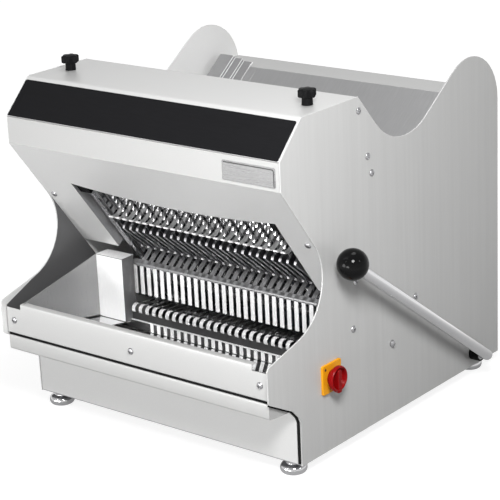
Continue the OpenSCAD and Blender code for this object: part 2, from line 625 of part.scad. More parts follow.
module lever_shaft() color([0.5, 0.5, 0.52]) body()
  rod_x(wall_in_l - wall_t - 6, lever_x + 14, lever_shaft_r, lever_at);
module lever_collar() color([0.06, 0.06, 0.06]) body()
  ring_x(hw + 1, lever_x - 13, lever_shaft_r + 3, lever_shaft_r, lever_at);
module lever_2d(r0, r1, l0, l1) {
  translate([lever_x, lever_at[0] + l0 * lever_dir[0], lever_at[1] + l0 * lever_dir[1]])
    rotate([90 - lever_a, 0, 0]) cylinder(h = l1 - l0, r1 = r0, r2 = r1);
}
module lever_rod() color([0.8, 0.8, 0.82]) body() difference() {
  union() {
    lever_2d(lever_rod_r, lever_rod_r, -14, lever_l - ball_r + 3);
    lever_2d(6, 6, lever_l - ball_r, lever_l - 6);
    rod_x(lever_x - 12, lever_x + 12, lever_shaft_r + 4, lever_at);
  }
  rod_x(lever_x - 40, lever_x + 40, lever_shaft_r, lever_at);
}
module lever_ball() color([0.05, 0.05, 0.05]) body() difference() {
  translate([lever_x, lever_at[0] + lever_l * lever_dir[0], lever_at[1] + lever_l * lever_dir[1]])
    sphere(r = ball_r, $fn = 64);
  lever_2d(lever_rod_r, lever_rod_r, lever_l - ball_r - 10, lever_l - ball_r + 3);
  lever_2d(6, 6, lever_l - ball_r - 10, lever_l - 6);
}
// The lever shaft seen from the cutting line: u behind it, v below it
cut_pivot = [(lever_y + cut_y) * cos(tilt) + (lever_z - cut_z) * sin(tilt),
             (lever_y + cut_y) * sin(tilt) - (lever_z - cut_z) * cos(tilt)];
arm_end = uv(pusher_u, pusher_v + pusher_h);
arm_low = uv(pusher_u, pusher_v);
arm_n = 9 * left_of(lever_at, arm_low);
module pusher_arms() color([0.45, 0.45, 0.48]) body() for (a = arm_xs) difference() {
  union() {
    along_x(a[0], a[1]) polygon([lever_at + arm_n, arm_low, arm_end,
      uv(pusher_u + 16, pusher_v + pusher_h), uv(pusher_u + 17, pusher_v), lever_at - arm_n]);
    rod_x(a[0], a[1], lever_shaft_r + 7, lever_at);
  }
  rod_x(a[0] - 1, a[1] + 1, lever_shaft_r, lever_at);
}
// The fins' front tips pass under the upper comb as the lever swings
fin_r = loaf_h - cover_t - 3 + cut_pivot[1];
fin_top = sqrt(fin_r * fin_r - pow(cut_pivot[0] + 20, 2)) - cut_pivot[1];
module pusher_plate() color([0.7, 0.7, 0.72]) body() tilted() {
  box(arm_xs[0][1], arm_xs[1][0], pusher_u, pusher_u + 2, pusher_v, pusher_v + pusher_h);
  box(arm_xs[0][1], arm_xs[1][0], pusher_u, pusher_u + 14, pusher_v + pusher_h - 2, pusher_v + pusher_h);
  for (k = [0 : blade_n - 2]) {
    x = (blade_x[k] + blade_x[k + 1]) / 2;
    along_x(x - fin_t / 2, x + fin_t / 2) polygon([[pusher_u, pusher_v], [-2, pusher_v + 2],
      [-20, fin_top], [-15, fin_top + 3], [pusher_u, pusher_v + pusher_h - 4]]);
  }
}

lip_y = -tip_y + 5;
drawer_x = inner - 4;
module drawer_front() color([0.84, 0.84, 0.84]) body()
  sheet([[lip_y + 16, tip_low - 3], [lip_y, tip_low - 3], [lip_y, tip_low - 27],
         [-base_y - 13, tip_low - 34], [-base_y - 3, tip_low - 44], [-base_y - 3, 4]],
        cover_t, -drawer_x, drawer_x);
module crumb_tray() color([0.7, 0.7, 0.72]) body() difference() {
  box(-tray_x, tray_x, -base_y - 3 + cover_t, -base_y - 3 + tray_l, tray_z, tray_z + tray_h);
  box(-tray_x + 1.2, tray_x - 1.2, -base_y - 3 + cover_t + 1.2, -base_y - 4.2 + tray_l,
      tray_z + 1.2, tray_z + tray_h + 1);
}

left_side_panel();
right_side_panel();
top_cover();
band_trim();
blank_plate();
front_panel();
hood_back();
front_apron();
trough_sheet();
left_guide();
right_guide();
upper_comb();
outfeed_grid();
lower_comb();
bed_plate();
bed_bars();
left_drive_cover();
right_side_cover();
rear_cover();
base_pan();
tray_runners();
left_bearing_plate();
right_bearing_plate();
upper_guide_blocks();
lower_guide_blocks();
crank_bearings();
lever_bushes();
motor();
motor_bracket();
drive_belt();
switch_plate();
switch_body();
cable_gland();
knob_brackets();
feet();
right_panel_screws();
left_panel_screws();
front_screws();
panel_plug();
frame_a();
blades_a();
frame_b();
blades_b();
crankshaft();
drive_pulley();
conrods_a();
conrods_b();
motor_pulley();
lever_shaft();
lever_collar();
lever_rod();
lever_ball();
pusher_arms();
pusher_plate();
drawer_front();
crumb_tray();
switch_knob();
left_thumb_knob();
right_thumb_knob();
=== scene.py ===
import math

import bmesh
import bpy
from mathutils import Matrix, Vector


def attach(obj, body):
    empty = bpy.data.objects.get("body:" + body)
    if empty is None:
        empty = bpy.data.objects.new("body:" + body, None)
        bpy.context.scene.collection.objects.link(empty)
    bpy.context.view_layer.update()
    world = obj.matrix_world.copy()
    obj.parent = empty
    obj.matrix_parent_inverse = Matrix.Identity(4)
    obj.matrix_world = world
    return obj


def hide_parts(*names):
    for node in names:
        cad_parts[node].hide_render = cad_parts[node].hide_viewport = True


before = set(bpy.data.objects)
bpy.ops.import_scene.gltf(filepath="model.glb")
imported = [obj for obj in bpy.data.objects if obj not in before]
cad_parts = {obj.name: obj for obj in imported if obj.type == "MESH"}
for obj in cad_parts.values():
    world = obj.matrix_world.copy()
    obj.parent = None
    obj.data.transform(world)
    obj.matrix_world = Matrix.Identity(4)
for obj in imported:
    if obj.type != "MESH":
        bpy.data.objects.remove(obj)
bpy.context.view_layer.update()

# The view: a long lens above counter height looks down on the lever side of the front.
# The camera leans a little to one side, as the photograph does.
MM = 0.001
view_turn, view_tilt, view_lean = (math.radians(a) for a in (39.38, 18.43, -2.59))
view_aim, view_far = Vector((-0.026, 0, 0.241)), 3.147
view_back = Vector((math.sin(view_turn) * math.cos(view_tilt),
                    -math.cos(view_turn) * math.cos(view_tilt), math.sin(view_tilt)))
view_side = Vector((-view_back.y, view_back.x, 0)).normalized()
view_up = view_back.cross(view_side)
lean_side = math.cos(view_lean) * view_side + math.sin(view_lean) * view_up
lean_up = math.cos(view_lean) * view_up - math.sin(view_lean) * view_side
camera = bpy.data.objects.new("camera", bpy.data.cameras.new("camera"))
bpy.context.scene.collection.objects.link(camera)
camera.data.sensor_width, camera.data.lens = 36, 133.3
camera.matrix_world = Matrix.Translation(view_aim + view_far * view_back) @ Matrix(
    (lean_side, lean_up, view_back)).transposed().to_4x4()
bpy.context.scene.camera = camera
bpy.context.scene.view_settings.view_transform = "Standard"


# The studio: a pale table top that fades to white, and a white room that metal mirrors; in
# metal the table shows darker near the machine, a painted shade around it.
# The key lamp stands in front on the lever side. The others, further off, fill in from the
# front, from low down, from both sides and from above the hood.
def add(tree, kind, sockets=None, **settings):
    made = tree.nodes.new(kind)
    for key, value in settings.items():
        setattr(made, key, value)
    for key, value in (sockets or {}).items():
        if isinstance(value, bpy.types.NodeSocket):
            tree.links.new(value, made.inputs[key])
        else:
            made.inputs[key].default_value = value
    return made


def seen_directly(tree, mirrored):
    path = add(tree, "ShaderNodeLightPath")
    total = path.outputs["Is Camera Ray"]
    for ray in ("Is Glossy Ray", "Is Transmission Ray"):
        share = add(tree, "ShaderNodeMath", {0: path.outputs[ray], 1: mirrored}, operation="MULTIPLY")
        most = add(tree, "ShaderNodeMath", {0: total, 1: share.outputs[0]}, operation="MAXIMUM")
        total = most.outputs[0]
    return total


room_light = 0.16
room = bpy.data.worlds.new("studio")
bpy.context.scene.world = room
room.use_nodes = True
room_shade = room.node_tree.nodes["Background"]
room_way = add(room.node_tree, "ShaderNodeTexCoord").outputs["Generated"]
room_rise = add(room.node_tree, "ShaderNodeSeparateXYZ", {0: room_way})
room_white = add(room.node_tree, "ShaderNodeMapRange", {
    "Value": room_rise.outputs["Z"], "From Min": 0.15, "From Max": 0.45, "To Min": 1.0, "To Max": 0.6})
room_level = add(room.node_tree, "ShaderNodeMapRange", {
    "Value": seen_directly(room.node_tree, 1.0), "To Min": room_light, "To Max": room_white.outputs[0]})
room.node_tree.links.new(room_level.outputs[0], room_shade.inputs["Strength"])
room_shade.inputs["Color"].default_value = (1, 1, 1, 1)


def lamp(name, place, aim, size, watts):
    light = bpy.data.lights.new(name, "AREA")
    light.shape, light.size, light.energy = "DISK", size, watts
    holder = bpy.data.objects.new(name, light)
    bpy.context.scene.collection.objects.link(holder)
    holder.location = place
    holder.rotation_euler = (Vector(aim) - Vector(place)).to_track_quat("-Z", "Y").to_euler()


lamp("key lamp", (1.0, -1.0, 1.25), (0.15, -0.1, 0.3), 0.45, 28)
lamp("front lamp", (-1.0, -2.6, 0.3), (0, -0.1, 0.25), 1.2, 32)
lamp("lever side lamp", (2.56, 0.04, 1.63), (0.3, -0.1, 0.3), 0.2, 2.5)
lamp("front left lamp", (-0.49, -2.3, 1.58), (0.3, -0.1, 0.3), 0.2, 2.5)
lamp("low front lamp", (0.35, -2.5, 0.12), (0.05, -0.25, 0.4), 0.8, 21)
lamp("over lamp", (0.2, 0.2, 2.0), (0, 0.1, 0.4), 0.8, 8)

half_table = 8
table_mesh = bpy.data.meshes.new("table")
table_mesh.from_pydata([(-half_table, -half_table, 0), (half_table, -half_table, 0),
                        (half_table, half_table, 0), (-half_table, half_table, 0)], [], [(0, 1, 2, 3)])
table = bpy.data.objects.new("table", table_mesh)
bpy.context.scene.collection.objects.link(table)
table_finish = bpy.data.materials.new("pale table")
table_finish.use_nodes = True
table_shader = table_finish.node_tree.nodes["Principled BSDF"]
table_shader.inputs["Base Color"].default_value = (0.25, 0.25, 0.25, 1)
table_shader.inputs["Roughness"].default_value = 0.9
table_shader.inputs["Emission Color"].default_value = (1, 1, 1, 1)
table_spot = add(table_finish.node_tree, "ShaderNodeTexCoord").outputs["Object"]
table_reach = add(table_finish.node_tree, "ShaderNodeVectorMath", {0: table_spot}, operation="LENGTH")
table_far = add(table_finish.node_tree, "ShaderNodeMapRange", {
    "Value": table_reach.outputs["Value"], "From Min": 0.45, "From Max": 1.1,
    "To Min": 0.86, "To Max": 0.98})
# what metal mirrors of the table: darker near the machine, a painted shade around it
table_mirrored_shade = add(table_finish.node_tree, "ShaderNodeMapRange", {
    "Value": table_reach.outputs["Value"], "From Min": 0.4, "From Max": 1.3,
    "To Min": 0.3, "To Max": 1.0})
table_glow = add(table_finish.node_tree, "ShaderNodeMath", {
    0: seen_directly(table_finish.node_tree, table_mirrored_shade.outputs[0]), 1: table_far.outputs[0]},
    operation="MULTIPLY")
table_finish.node_tree.links.new(table_glow.outputs[0], table_shader.inputs["Emission Strength"])
table_mesh.materials.append(table_finish)


# Side panels: two laser-cut sheets of light satin steel that carry everything else.
# Their cut edges are dressed to a small round, and the round takes a lighter colour, a painted highlight along the rim.
def shader_group(name, inputs, outputs):
    tree = bpy.data.node_groups.new(name, "ShaderNodeTree")
    for label, kind, value in inputs:
        socket = tree.interface.new_socket(label, in_out="INPUT", socket_type=kind)
        socket.default_value = value
    for label in outputs:
        tree.interface.new_socket(label, in_out="OUTPUT", socket_type="NodeSocketFloat")
    return tree, tree.nodes.new("NodeGroupInput").outputs, tree.nodes.new("NodeGroupOutput").inputs


VECTOR, NUMBER = "NodeSocketVector", "NodeSocketFloat"
# fine grain of a ground or brushed sheet; Stretch says how fine it is along each axis
sheet_grain, gin, gout = shader_group("sheet grain", [
    ("Place", VECTOR, (0, 0, 0)), ("Stretch", VECTOR, (800, 800, 800))], ["Shade", "Height"])
grain_place = add(sheet_grain, "ShaderNodeMapping", {"Vector": gin["Place"], "Scale": gin["Stretch"]})
grain_noise = add(sheet_grain, "ShaderNodeTexNoise", {
    "Vector": grain_place.outputs[0], "Scale": 1.0, "Detail": 4.0, "Roughness": 0.65})
grain_level = add(sheet_grain, "ShaderNodeMapRange", {
    "Value": grain_noise.outputs[0], "From Min": 0.3, "From Max": 0.7})
for label in ("Shade", "Height"):
    sheet_grain.links.new(grain_level.outputs[0], gout[label])
# broad cloudy marks left by wiping and handling
wipe_marks, win, wout = shader_group("wipe marks", [
    ("Place", VECTOR, (0, 0, 0)), ("Size", NUMBER, 5.0)], ["Mask"])
wipe_noise = add(wipe_marks, "ShaderNodeTexNoise", {
    "Vector": win["Place"], "Scale": win["Size"], "Detail": 5.0, "Roughness": 0.6, "Distortion": 0.4})
wipe_level = add(wipe_marks, "ShaderNodeMapRange", {
    "Value": wipe_noise.outputs[0], "From Min": 0.35, "From Max": 0.75})
wipe_marks.links.new(wipe_level.outputs[0], wout["Mask"])


def blend(tree, factor, first, second):
    made = tree.nodes.new("ShaderNodeMix")
    made.data_type = "RGBA"
    for index, value in ((0, factor), (6, first), (7, second)):
        if isinstance(value, bpy.types.NodeSocket):
            tree.links.new(value, made.inputs[index])
        else:
            made.inputs[index].default_value = value
    return made.outputs[2]


def tone(colour, level):
    return tuple(min(1.0, c * level) for c in colour) + (1.0,)


def finish(name, colour, rough, metal=0.0, stretch=(900, 900, 900), contrast=0.04,
           marks=0.02, relief=0.03, rough_spread=0.05, shine=0.5):
    made = bpy.data.materials.new(name)
    made.use_nodes = True
    tree = made.node_tree
    shader = tree.nodes["Principled BSDF"]
    shader.inputs["Metallic"].default_value = metal
    shader.inputs["Specular IOR Level"].default_value = shine
    place = add(tree, "ShaderNodeTexCoord").outputs["Object"]
    grain = add(tree, "ShaderNodeGroup", node_tree=sheet_grain)
    wiped = add(tree, "ShaderNodeGroup", node_tree=wipe_marks)
    for group in (grain, wiped):
        tree.links.new(place, group.inputs["Place"])
    grain.inputs["Stretch"].default_value = stretch
    shade = blend(tree, grain.outputs["Shade"], tone(colour, 1 - contrast), tone(colour, 1 + contrast))
    dull = add(tree, "ShaderNodeMath", {0: wiped.outputs["Mask"], 1: marks}, operation="MULTIPLY")
    dull_colour = tone(colour, 0.6)
    shade = blend(tree, dull.outputs[0], shade, dull_colour)
    tree.links.new(shade, shader.inputs["Base Color"])
    roughness = add(tree, "ShaderNodeMapRange", {
        "Value": grain.outputs["Shade"], "To Min": rough - rough_spread, "To Max": rough + rough_spread})
    tree.links.new(roughness.outputs[0], shader.inputs["Roughness"])
    bump = add(tree, "ShaderNodeBump", {
        "Strength": relief, "Distance": 0.0004, "Height": grain.outputs["Height"]})
    tree.links.new(bump.outputs[0], shader.inputs["Normal"])
    return made


def shown(name, mesh, material, body, nodes=()):
    made = bpy.data.objects.new(name.replace(" ", "_"), mesh)
    bpy.context.scene.collection.objects.link(made)
    mesh.materials.clear()
    mesh.materials.append(material)
    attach(made, body)
    if nodes:
        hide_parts(*nodes)
    return made


def softened(made, width, segments=2, angle=32, rim=None):
    made.data.shade_smooth()
    made.data.set_sharp_from_angle(angle=math.radians(angle))
    if width:
        edge = made.modifiers.new("dressed edge", "BEVEL")
        edge.width, edge.segments = width * MM, segments
        edge.limit_method, edge.angle_limit = "ANGLE", math.radians(angle)
        edge.harden_normals = True
        if rim:
            made.data.materials.append(rim)
            edge.material = 1
    return made


def carried(node, name, material, body, width=0.4, segments=2, rim=None):
    solid = bmesh.new()
    solid.from_mesh(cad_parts[node].data)
    bmesh.ops.remove_doubles(solid, verts=solid.verts, dist=0.00002)
    bmesh.ops.dissolve_limit(solid, angle_limit=math.radians(0.5), verts=solid.verts, edges=solid.edges)
    mesh = bpy.data.meshes.new(name)
    solid.to_mesh(mesh)
    solid.free()
    return softened(shown(name, mesh, material, body, (node,)), width, segments, rim=rim)


upright_grain = (120, 120, 3)
panel_rim = 0.8
satin_sheet = finish("satin side sheet", (0.545, 0.545, 0.54), 0.42, metal=0.06,
                     stretch=upright_grain, contrast=0.035)
# near-white colour for the rounded edges of the panels and the left cover: a painted highlight
painted_rim_highlight = finish("painted highlight rim", (0.86, 0.86, 0.86), 0.3, metal=0.3)
# the left panel is a lighter copy of the right panel's sheet: painted light for the light falling on its inner face
left_lit_satin = finish("left satin sheet", (0.74, 0.74, 0.735), 0.42, metal=0.06, contrast=0.03)
for node, name, material in (("left_side_panel", "left side sheet", left_lit_satin),
                             ("right_side_panel", "right side sheet", satin_sheet)):
    carried(node, name, material, "housing", panel_rim, rim=painted_rim_highlight)

# Base pan, tray runners, inner bearing plates, bed bars and knob brackets: plain zinc-grey
# sheet, folded and bolted between the side panels. They stay in the dark of the machine.
grey_plate = finish("grey inner plate", (0.36, 0.36, 0.37), 0.45, metal=0.8,
                    stretch=(60, 60, 900), contrast=0.08)
for node, name in (("base_pan", "base pan"), ("tray_runners", "tray runners"),
                   ("left_bearing_plate", "left bearing plate"),
                   ("right_bearing_plate", "right bearing plate"), ("bed_bars", "bed bars"),
                   ("knob_brackets", "knob brackets")):
    carried(node, name, grey_plate, "housing", 0.3)


# Feet: turned steel, chromed, each screwed up into the base pan by its stud.
# A rounded rim meets the table and a slim neck meets the pan.
def turned(outline, steps=48):
    verts, faces = [], []
    rings = []
    for radius, height in outline:
        if radius < 1e-6:
            verts.append((0, 0, height))
            rings.append([len(verts) - 1] * steps)
        else:
            start = len(verts)
            verts += [(radius * math.cos(2 * math.pi * k / steps),
                       radius * math.sin(2 * math.pi * k / steps), height) for k in range(steps)]
            rings.append(list(range(start, start + steps)))
    for low, high in zip(rings, rings[1:]):
        for k in range(steps):
            ring = [low[k], low[(k + 1) % steps], high[(k + 1) % steps], high[k]]
            face = [v for i, v in enumerate(ring) if v not in ring[:i]]
            if len(face) > 2:
                faces.append(face)
    for ring, flip in ((rings[0], True), (rings[-1], False)):
        if len(set(ring)) > 2:
            faces.append(ring[::-1] if flip else ring)
    return verts, faces


def rounded(points, radius, steps=5, closed=False):
    out = []
    count = len(points)
    for i, here in enumerate(points):
        size = radius[i] if isinstance(radius, (list, tuple)) else radius
        if size <= 0 or (not closed and i in (0, count - 1)):
            out.append(Vector(here))
            continue
        here = Vector(here)
        back = (Vector(points[i - 1]) - here).normalized()
        ahead = (Vector(points[(i + 1) % count]) - here).normalized()
        half = back.angle(ahead) / 2
        reach = size / math.tan(half)
        centre = here + (back + ahead).normalized() * size / math.sin(half)
        first, last = here + back * reach - centre, here + ahead * reach - centre
        sweep = first.angle_signed(last)
        for k in range(steps + 1):
            turn = -sweep * k / steps
            out.append(centre + Vector((first.x * math.cos(turn) - first.y * math.sin(turn),
                                        first.x * math.sin(turn) + first.y * math.cos(turn))))
    return out


def mesh_of(name, verts, faces, place=None):
    mesh = bpy.data.meshes.new(name)
    mesh.from_pydata([Vector(v) * MM for v in verts], [], faces)
    if place is not None:
        mesh.transform(place)
    mesh.validate()
    return mesh


def copies_tree(name, places):
    tree = bpy.data.node_groups.new(name, "GeometryNodeTree")
    inputs = {"row": [("Count", "NodeSocketInt"), ("First", VECTOR), ("Step", VECTOR)],
              "points": [("Places", "NodeSocketGeometry")]}[places]
    for label, kind in inputs + [("Shape", "NodeSocketObject"), ("Finish", "NodeSocketMaterial")]:
        tree.interface.new_socket(label, in_out="INPUT", socket_type=kind)
    tree.interface.new_socket("Copies", in_out="OUTPUT", socket_type="NodeSocketGeometry")
    given = tree.nodes.new("NodeGroupInput").outputs
    laid = add(tree, "GeometryNodeInstanceOnPoints")
    if places == "row":
        line = add(tree, "GeometryNodeMeshLine", {
            "Count": given["Count"], "Start Location": given["First"], "Offset": given["Step"]})
        spots = line.outputs[0]
    else:
        spots = given["Places"]
    shape = add(tree, "GeometryNodeObjectInfo", {"Object": given["Shape"]})
    tree.links.new(spots, laid.inputs["Points"])
    tree.links.new(shape.outputs["Geometry"], laid.inputs["Instance"])
    whole = add(tree, "GeometryNodeRealizeInstances", {0: laid.outputs[0]})
    coated = add(tree, "GeometryNodeSetMaterial", {0: whole.outputs[0], "Material": given["Finish"]})
    done = tree.nodes.new("NodeGroupOutput")
    tree.links.new(coated.outputs[0], done.inputs[0])
    return tree


row_tree = copies_tree("row of copies", "row")
point_tree = copies_tree("copies at places", "points")


def copies(tree, name, shape_mesh, values, places=None):
    shape = bpy.data.objects.new(name + " shape", shape_mesh)
    spots = bpy.data.meshes.new(name + " places")
    spots.from_pydata([Vector(p) * MM for p in places or []], [], [])
    maker = bpy.data.objects.new(name + " maker", spots)
    for holder in (shape, maker):
        bpy.context.scene.collection.objects.link(holder)
    step = maker.modifiers.new("copies", "NODES")
    step.node_group = tree
    sockets = {s.name: s.identifier for s in tree.interface.items_tree if s.in_out == "INPUT"}
    for label, value in dict(values, Shape=shape).items():
        step[sockets[label]] = value
    graph = bpy.context.evaluated_depsgraph_get()
    mesh = bpy.data.meshes.new_from_object(maker.evaluated_get(graph), depsgraph=graph)
    bpy.data.objects.remove(maker)
    bpy.data.objects.remove(shape)
    return mesh


chrome = finish("bright chrome", (0.66, 0.66, 0.67), 0.07, metal=1.0, stretch=(300, 300, 300),
                contrast=0.03, marks=0.1, relief=0.005, rough_spread=0.02)
centre_r = 0.01  # a turned outline starts and ends this close to its axis
foot_r, foot_h, sole_r, neck_r = 21.5, 22, 14, 11
rim_w, rim_h = 6, 7.5
foot_x, foot_front, foot_rear = 249, -252, 256
foot_side = [(centre_r, 0), (sole_r, 0)]
foot_side += [(foot_r - rim_w + rim_w * math.cos(a), rim_h + rim_h * math.sin(a))
              for a in [math.radians(d) for d in range(-75, 76, 15)]]
foot_side += rounded([(sole_r, 2 * rim_h), (neck_r + 0.5, 15.6), (neck_r, foot_h)], [0, 1.5, 0], 4)
foot_shape = mesh_of("foot", *turned(foot_side))
foot_places = [(x, y, 0) for x in (-foot_x, foot_x) for y in (foot_front, foot_rear)]
feet_mesh = copies(point_tree, "feet", foot_shape, {"Finish": chrome}, foot_places)
softened(shown("feet", feet_mesh, chrome, "housing", ("feet",)), 0, angle=40)

# Rear cover: one sheet folded over the top behind the bed and down the back, with two rows
# of vent slots for the motor. The cable gland below it is a black plastic screw fitting.
rear_sheet = finish("rear cover sheet", (0.58, 0.58, 0.575), 0.40, metal=0.4, contrast=0.03)
carried("rear_cover", "rear cover", rear_sheet, "housing", 0.6)
black_plastic = finish("black moulded plastic", (0.007, 0.007, 0.0075), 0.42,
                       stretch=(1500, 1500, 1500), contrast=0.15, marks=0.1, relief=0.06, shine=0.04)
carried("cable_gland", "cable gland", black_plastic, "housing", 0.6)

# The drive under the bed: a cast motor on its bracket, a rubber belt to the crankshaft in its
# plain bearings, and a pair of rods for each blade frame. The frames slide in black plastic
# guide blocks, and the pusher's arms swing on a shaft in bronze bushes.
cast_grey = finish("painted casting", (0.16, 0.19, 0.22), 0.5, stretch=(500, 500, 500),
                   contrast=0.12, relief=0.2)
turned_steel = finish("turned steel", (0.5, 0.5, 0.51), 0.28, metal=1.0, stretch=(900, 60, 60),
                      contrast=0.1)
belt_rubber = finish("belt rubber", (0.02, 0.02, 0.02), 0.7, stretch=(700, 700, 700), contrast=0.2)
bronze = finish("bush bronze", (0.55, 0.36, 0.16), 0.35, metal=1.0, stretch=(700, 700, 700),
                contrast=0.08)
for node, name, material, body, slot in (
        ("motor", "motor", cast_grey, "housing", "cast"),
        ("motor_bracket", "motor bracket", cast_grey, "housing", "cast"),
        ("drive_belt", "drive belt", belt_rubber, "housing", "rubber"),
        ("crank_bearings", "crank bearings", turned_steel, "housing", "steel"),
        ("lever_bushes", "lever bushes", bronze, "housing", "bronze"),
        ("crankshaft", "crankshaft", turned_steel, "crank", "steel"),
        ("drive_pulley", "drive pulley", turned_steel, "crank", "alloy"),
        ("motor_pulley", "motor pulley", turned_steel, "motor_rotor", "alloy"),
        ("conrods_a", "front con-rods", turned_steel, "front_rods", "steel"),
        ("conrods_b", "rear con-rods", turned_steel, "rear_rods", "steel"),
        ("upper_guide_blocks", "upper guide blocks", black_plastic, "housing", "black_plastic"),
        ("lower_guide_blocks", "lower guide blocks", black_plastic, "housing", "black_plastic"),
        ("frame_a", "front blade frame", turned_steel, "front_blades", "steel"),
        ("frame_b", "rear blade frame", turned_steel, "rear_blades", "steel"),
        ("pusher_arms", "pusher arms", grey_plate, "lever", "steel")):
    carried(node, name, material, body, 0.3)

# Blades: thin hardened strips with scalloped teeth towards the loaf, let into the beams of
# the two blade frames in turn, one slice apart. Small bright mirror lands sit on the strips
# above and below the loaf, further back on the rear frame than on the front one; they are
# placed and coloured to paint the glints of the teeth.
bed_tilt = math.radians(36.87)
cut_y, cut_z = -95, 225 + foot_h
half_w, mouth_left, mouth_right = 280, -197, 225
slice_w, blade_n, blade_w, blade_t = 15, 26, 12, 0.8
mouth_mid = (mouth_left + mouth_right) / 2
blade_first = mouth_mid - (blade_n - 1) / 2 * slice_w


def bed_point(u, v):
    return Vector((cut_y + u * math.cos(bed_tilt) - v * math.sin(bed_tilt),
                   cut_z + u * math.sin(bed_tilt) + v * math.cos(bed_tilt)))


def prism(points, x0, x1):
    count = len(points)
    verts = [(x0, p[0], p[1]) for p in points] + [(x1, p[0], p[1]) for p in points]
    faces = [(k, (k + 1) % count, count + (k + 1) % count, count + k) for k in range(count)]
    faces += [tuple(range(count))[::-1], tuple(range(count, 2 * count))]
    area = sum(points[k - 1][0] * points[k][1] - points[k][0] * points[k - 1][1] for k in range(count))
    if area < 0:
        faces = [f[::-1] for f in faces]
    return verts, faces


blade_steel = finish("mirror blade steel", (0.55, 0.55, 0.56), 0.03, metal=1.0, stretch=(200, 40, 900),
                     contrast=0.01, marks=0.0, relief=0.0, rough_spread=0.01)
ground_steel = finish("ground tooth steel", (0.70, 0.70, 0.70), 0.35, metal=0.4, stretch=(400, 900, 900))
# near-white mirror steel, lighter than the blades: lands that paint the glints of the teeth
land_glint_steel = finish("land steel with painted glint", (0.97, 0.97, 0.97), 0.10, metal=1.0, stretch=(400, 900, 900),
                    contrast=0.02, relief=0.0)
frame_off, blade_low, blade_high = 7, -58, 230
tooth, tooth_d, tooth_n, tooth_steps, tooth_start = 12, 2.6, 21, 6, 14
tooth_root, grind_w, edge_t = 0.6, 0.4, 0.1
land_rows = [-50, -38, -26] + list(range(118, 190, tooth))
land_edge, land_w, land_back = ((-2, -3), (3.2, -3), (3.2, 1.7)), 3.2, 7
for letter, side, body in (("a", -1, "front_blades"), ("b", 1, "rear_blades")):
    front = side * frame_off - blade_w / 2
    rear = side * frame_off + blade_w / 2 - tooth_d - tooth_root
    strip = [bed_point(*p) for p in ((front, blade_high), (front, blade_low),
                                     (rear, blade_low), (rear, blade_high))]
    shape = mesh_of("blade", *prism(strip, -blade_t / 2, blade_t / 2))
    first = blade_first + (0 if side < 0 else slice_w)
    row = {"Count": blade_n // 2, "First": (first * MM, 0, 0), "Step": (2 * slice_w * MM, 0, 0)}
    mesh = copies(row_tree, "blades " + letter, shape, dict(row, Finish=blade_steel))
    softened(shown("blades_" + letter, mesh, blade_steel, body, ("blades_" + letter,)), 0)
    root, edge = [], []
    for k in range(tooth_n * tooth_steps + 1):
        v = blade_low + tooth_start + k * tooth / tooth_steps
        depth = tooth_d * (1 - abs(math.sin(math.pi * k / tooth_steps)))
        root.append(bed_point(rear, v))
        edge.append(bed_point(rear + grind_w + depth, v))
    n = len(root)
    verts = [(x, p.x, p.y) for x, line in ((-blade_t / 2, root), (-edge_t / 2, edge),
                                           (edge_t / 2, edge), (blade_t / 2, root)) for p in line]
    faces = [(a * n + k, a * n + k + 1, b * n + k + 1, b * n + k)
             for a, b in ((0, 1), (1, 2), (2, 3), (3, 0)) for k in range(n - 1)]
    faces += [(0, n, 2 * n, 3 * n), (4 * n - 1, 3 * n - 1, 2 * n - 1, n - 1)]
    mesh = copies(row_tree, "teeth " + letter, mesh_of("teeth", verts, faces),
                  dict(row, Finish=ground_steel))
    softened(shown("blade_teeth_" + letter, mesh, ground_steel, body, ()), 0)
    land_u = front if side < 0 else front + land_back
    verts, faces = [], []
    for v in land_rows:
        wedge = prism([bed_point(land_u + u, v + w) for u, w in land_edge], -land_w / 2, land_w / 2)
        faces += [tuple(len(verts) + i for i in face) for face in wedge[1]]
        verts += wedge[0]
    # the outermost blade of each frame passes the guide blocks, so it has no lands
    inner_first = first + (2 * slice_w if side < 0 else 0)
    inner_row = dict(row, Count=blade_n // 2 - 1, First=(inner_first * MM, 0, 0))
    mesh = copies(row_tree, "dimples " + letter, mesh_of("dimples", verts, faces),
                  dict(inner_row, Finish=land_glint_steel))
    softened(shown("blade_dimples_" + letter, mesh, land_glint_steel, body, ()), 0.3)

# The loaf bed, its two side covers and the hood's rear wall: brushed sheet that the loaf
# slides down. The left cover is stepped because the belt runs under it. Brush strips line
# the slots for the pusher's arms, and plates close the slots' unused ends.
bed_steel = finish("brushed bed steel", (0.47, 0.47, 0.475), 0.34, metal=0.9,
                   stretch=(1400, 30, 30), contrast=0.08, relief=0.03)
dark_cover = finish("side cover sheet", (0.36, 0.36, 0.365), 0.42, metal=0.7, contrast=0.05)
carried("bed_plate", "loaf_bed", bed_steel, "housing", 0.4)
bed_from, bed_len, cover_past = 60, 410, 12
steps = [(-199, 0), (-219, 0), (-219, 6), (-236, 6), (-236, 12), (-268, 12), (-268, -14), (-277, -14)]
under = [(-277, -15.5), (-266.5, -15.5), (-266.5, 10.5), (-237.5, 10.5), (-237.5, 4.5), (-220.5, 4.5),
         (-220.5, -1.5), (-199, -1.5)]
section = steps + under
verts = [(x, *bed_point(u, v)) for u in (bed_from, bed_len + cover_past) for x, v in section]
count = len(section)
faces = [(k, (k + 1) % count, count + (k + 1) % count, count + k) for k in range(count)]
faces += [tuple(range(count))[::-1], tuple(range(count, 2 * count))]
cover_mesh = mesh_of("left drive cover", verts, faces)
shell = bmesh.new()
shell.from_mesh(cover_mesh)
bmesh.ops.recalc_face_normals(shell, faces=shell.faces)
shell.to_mesh(cover_mesh)
shell.free()
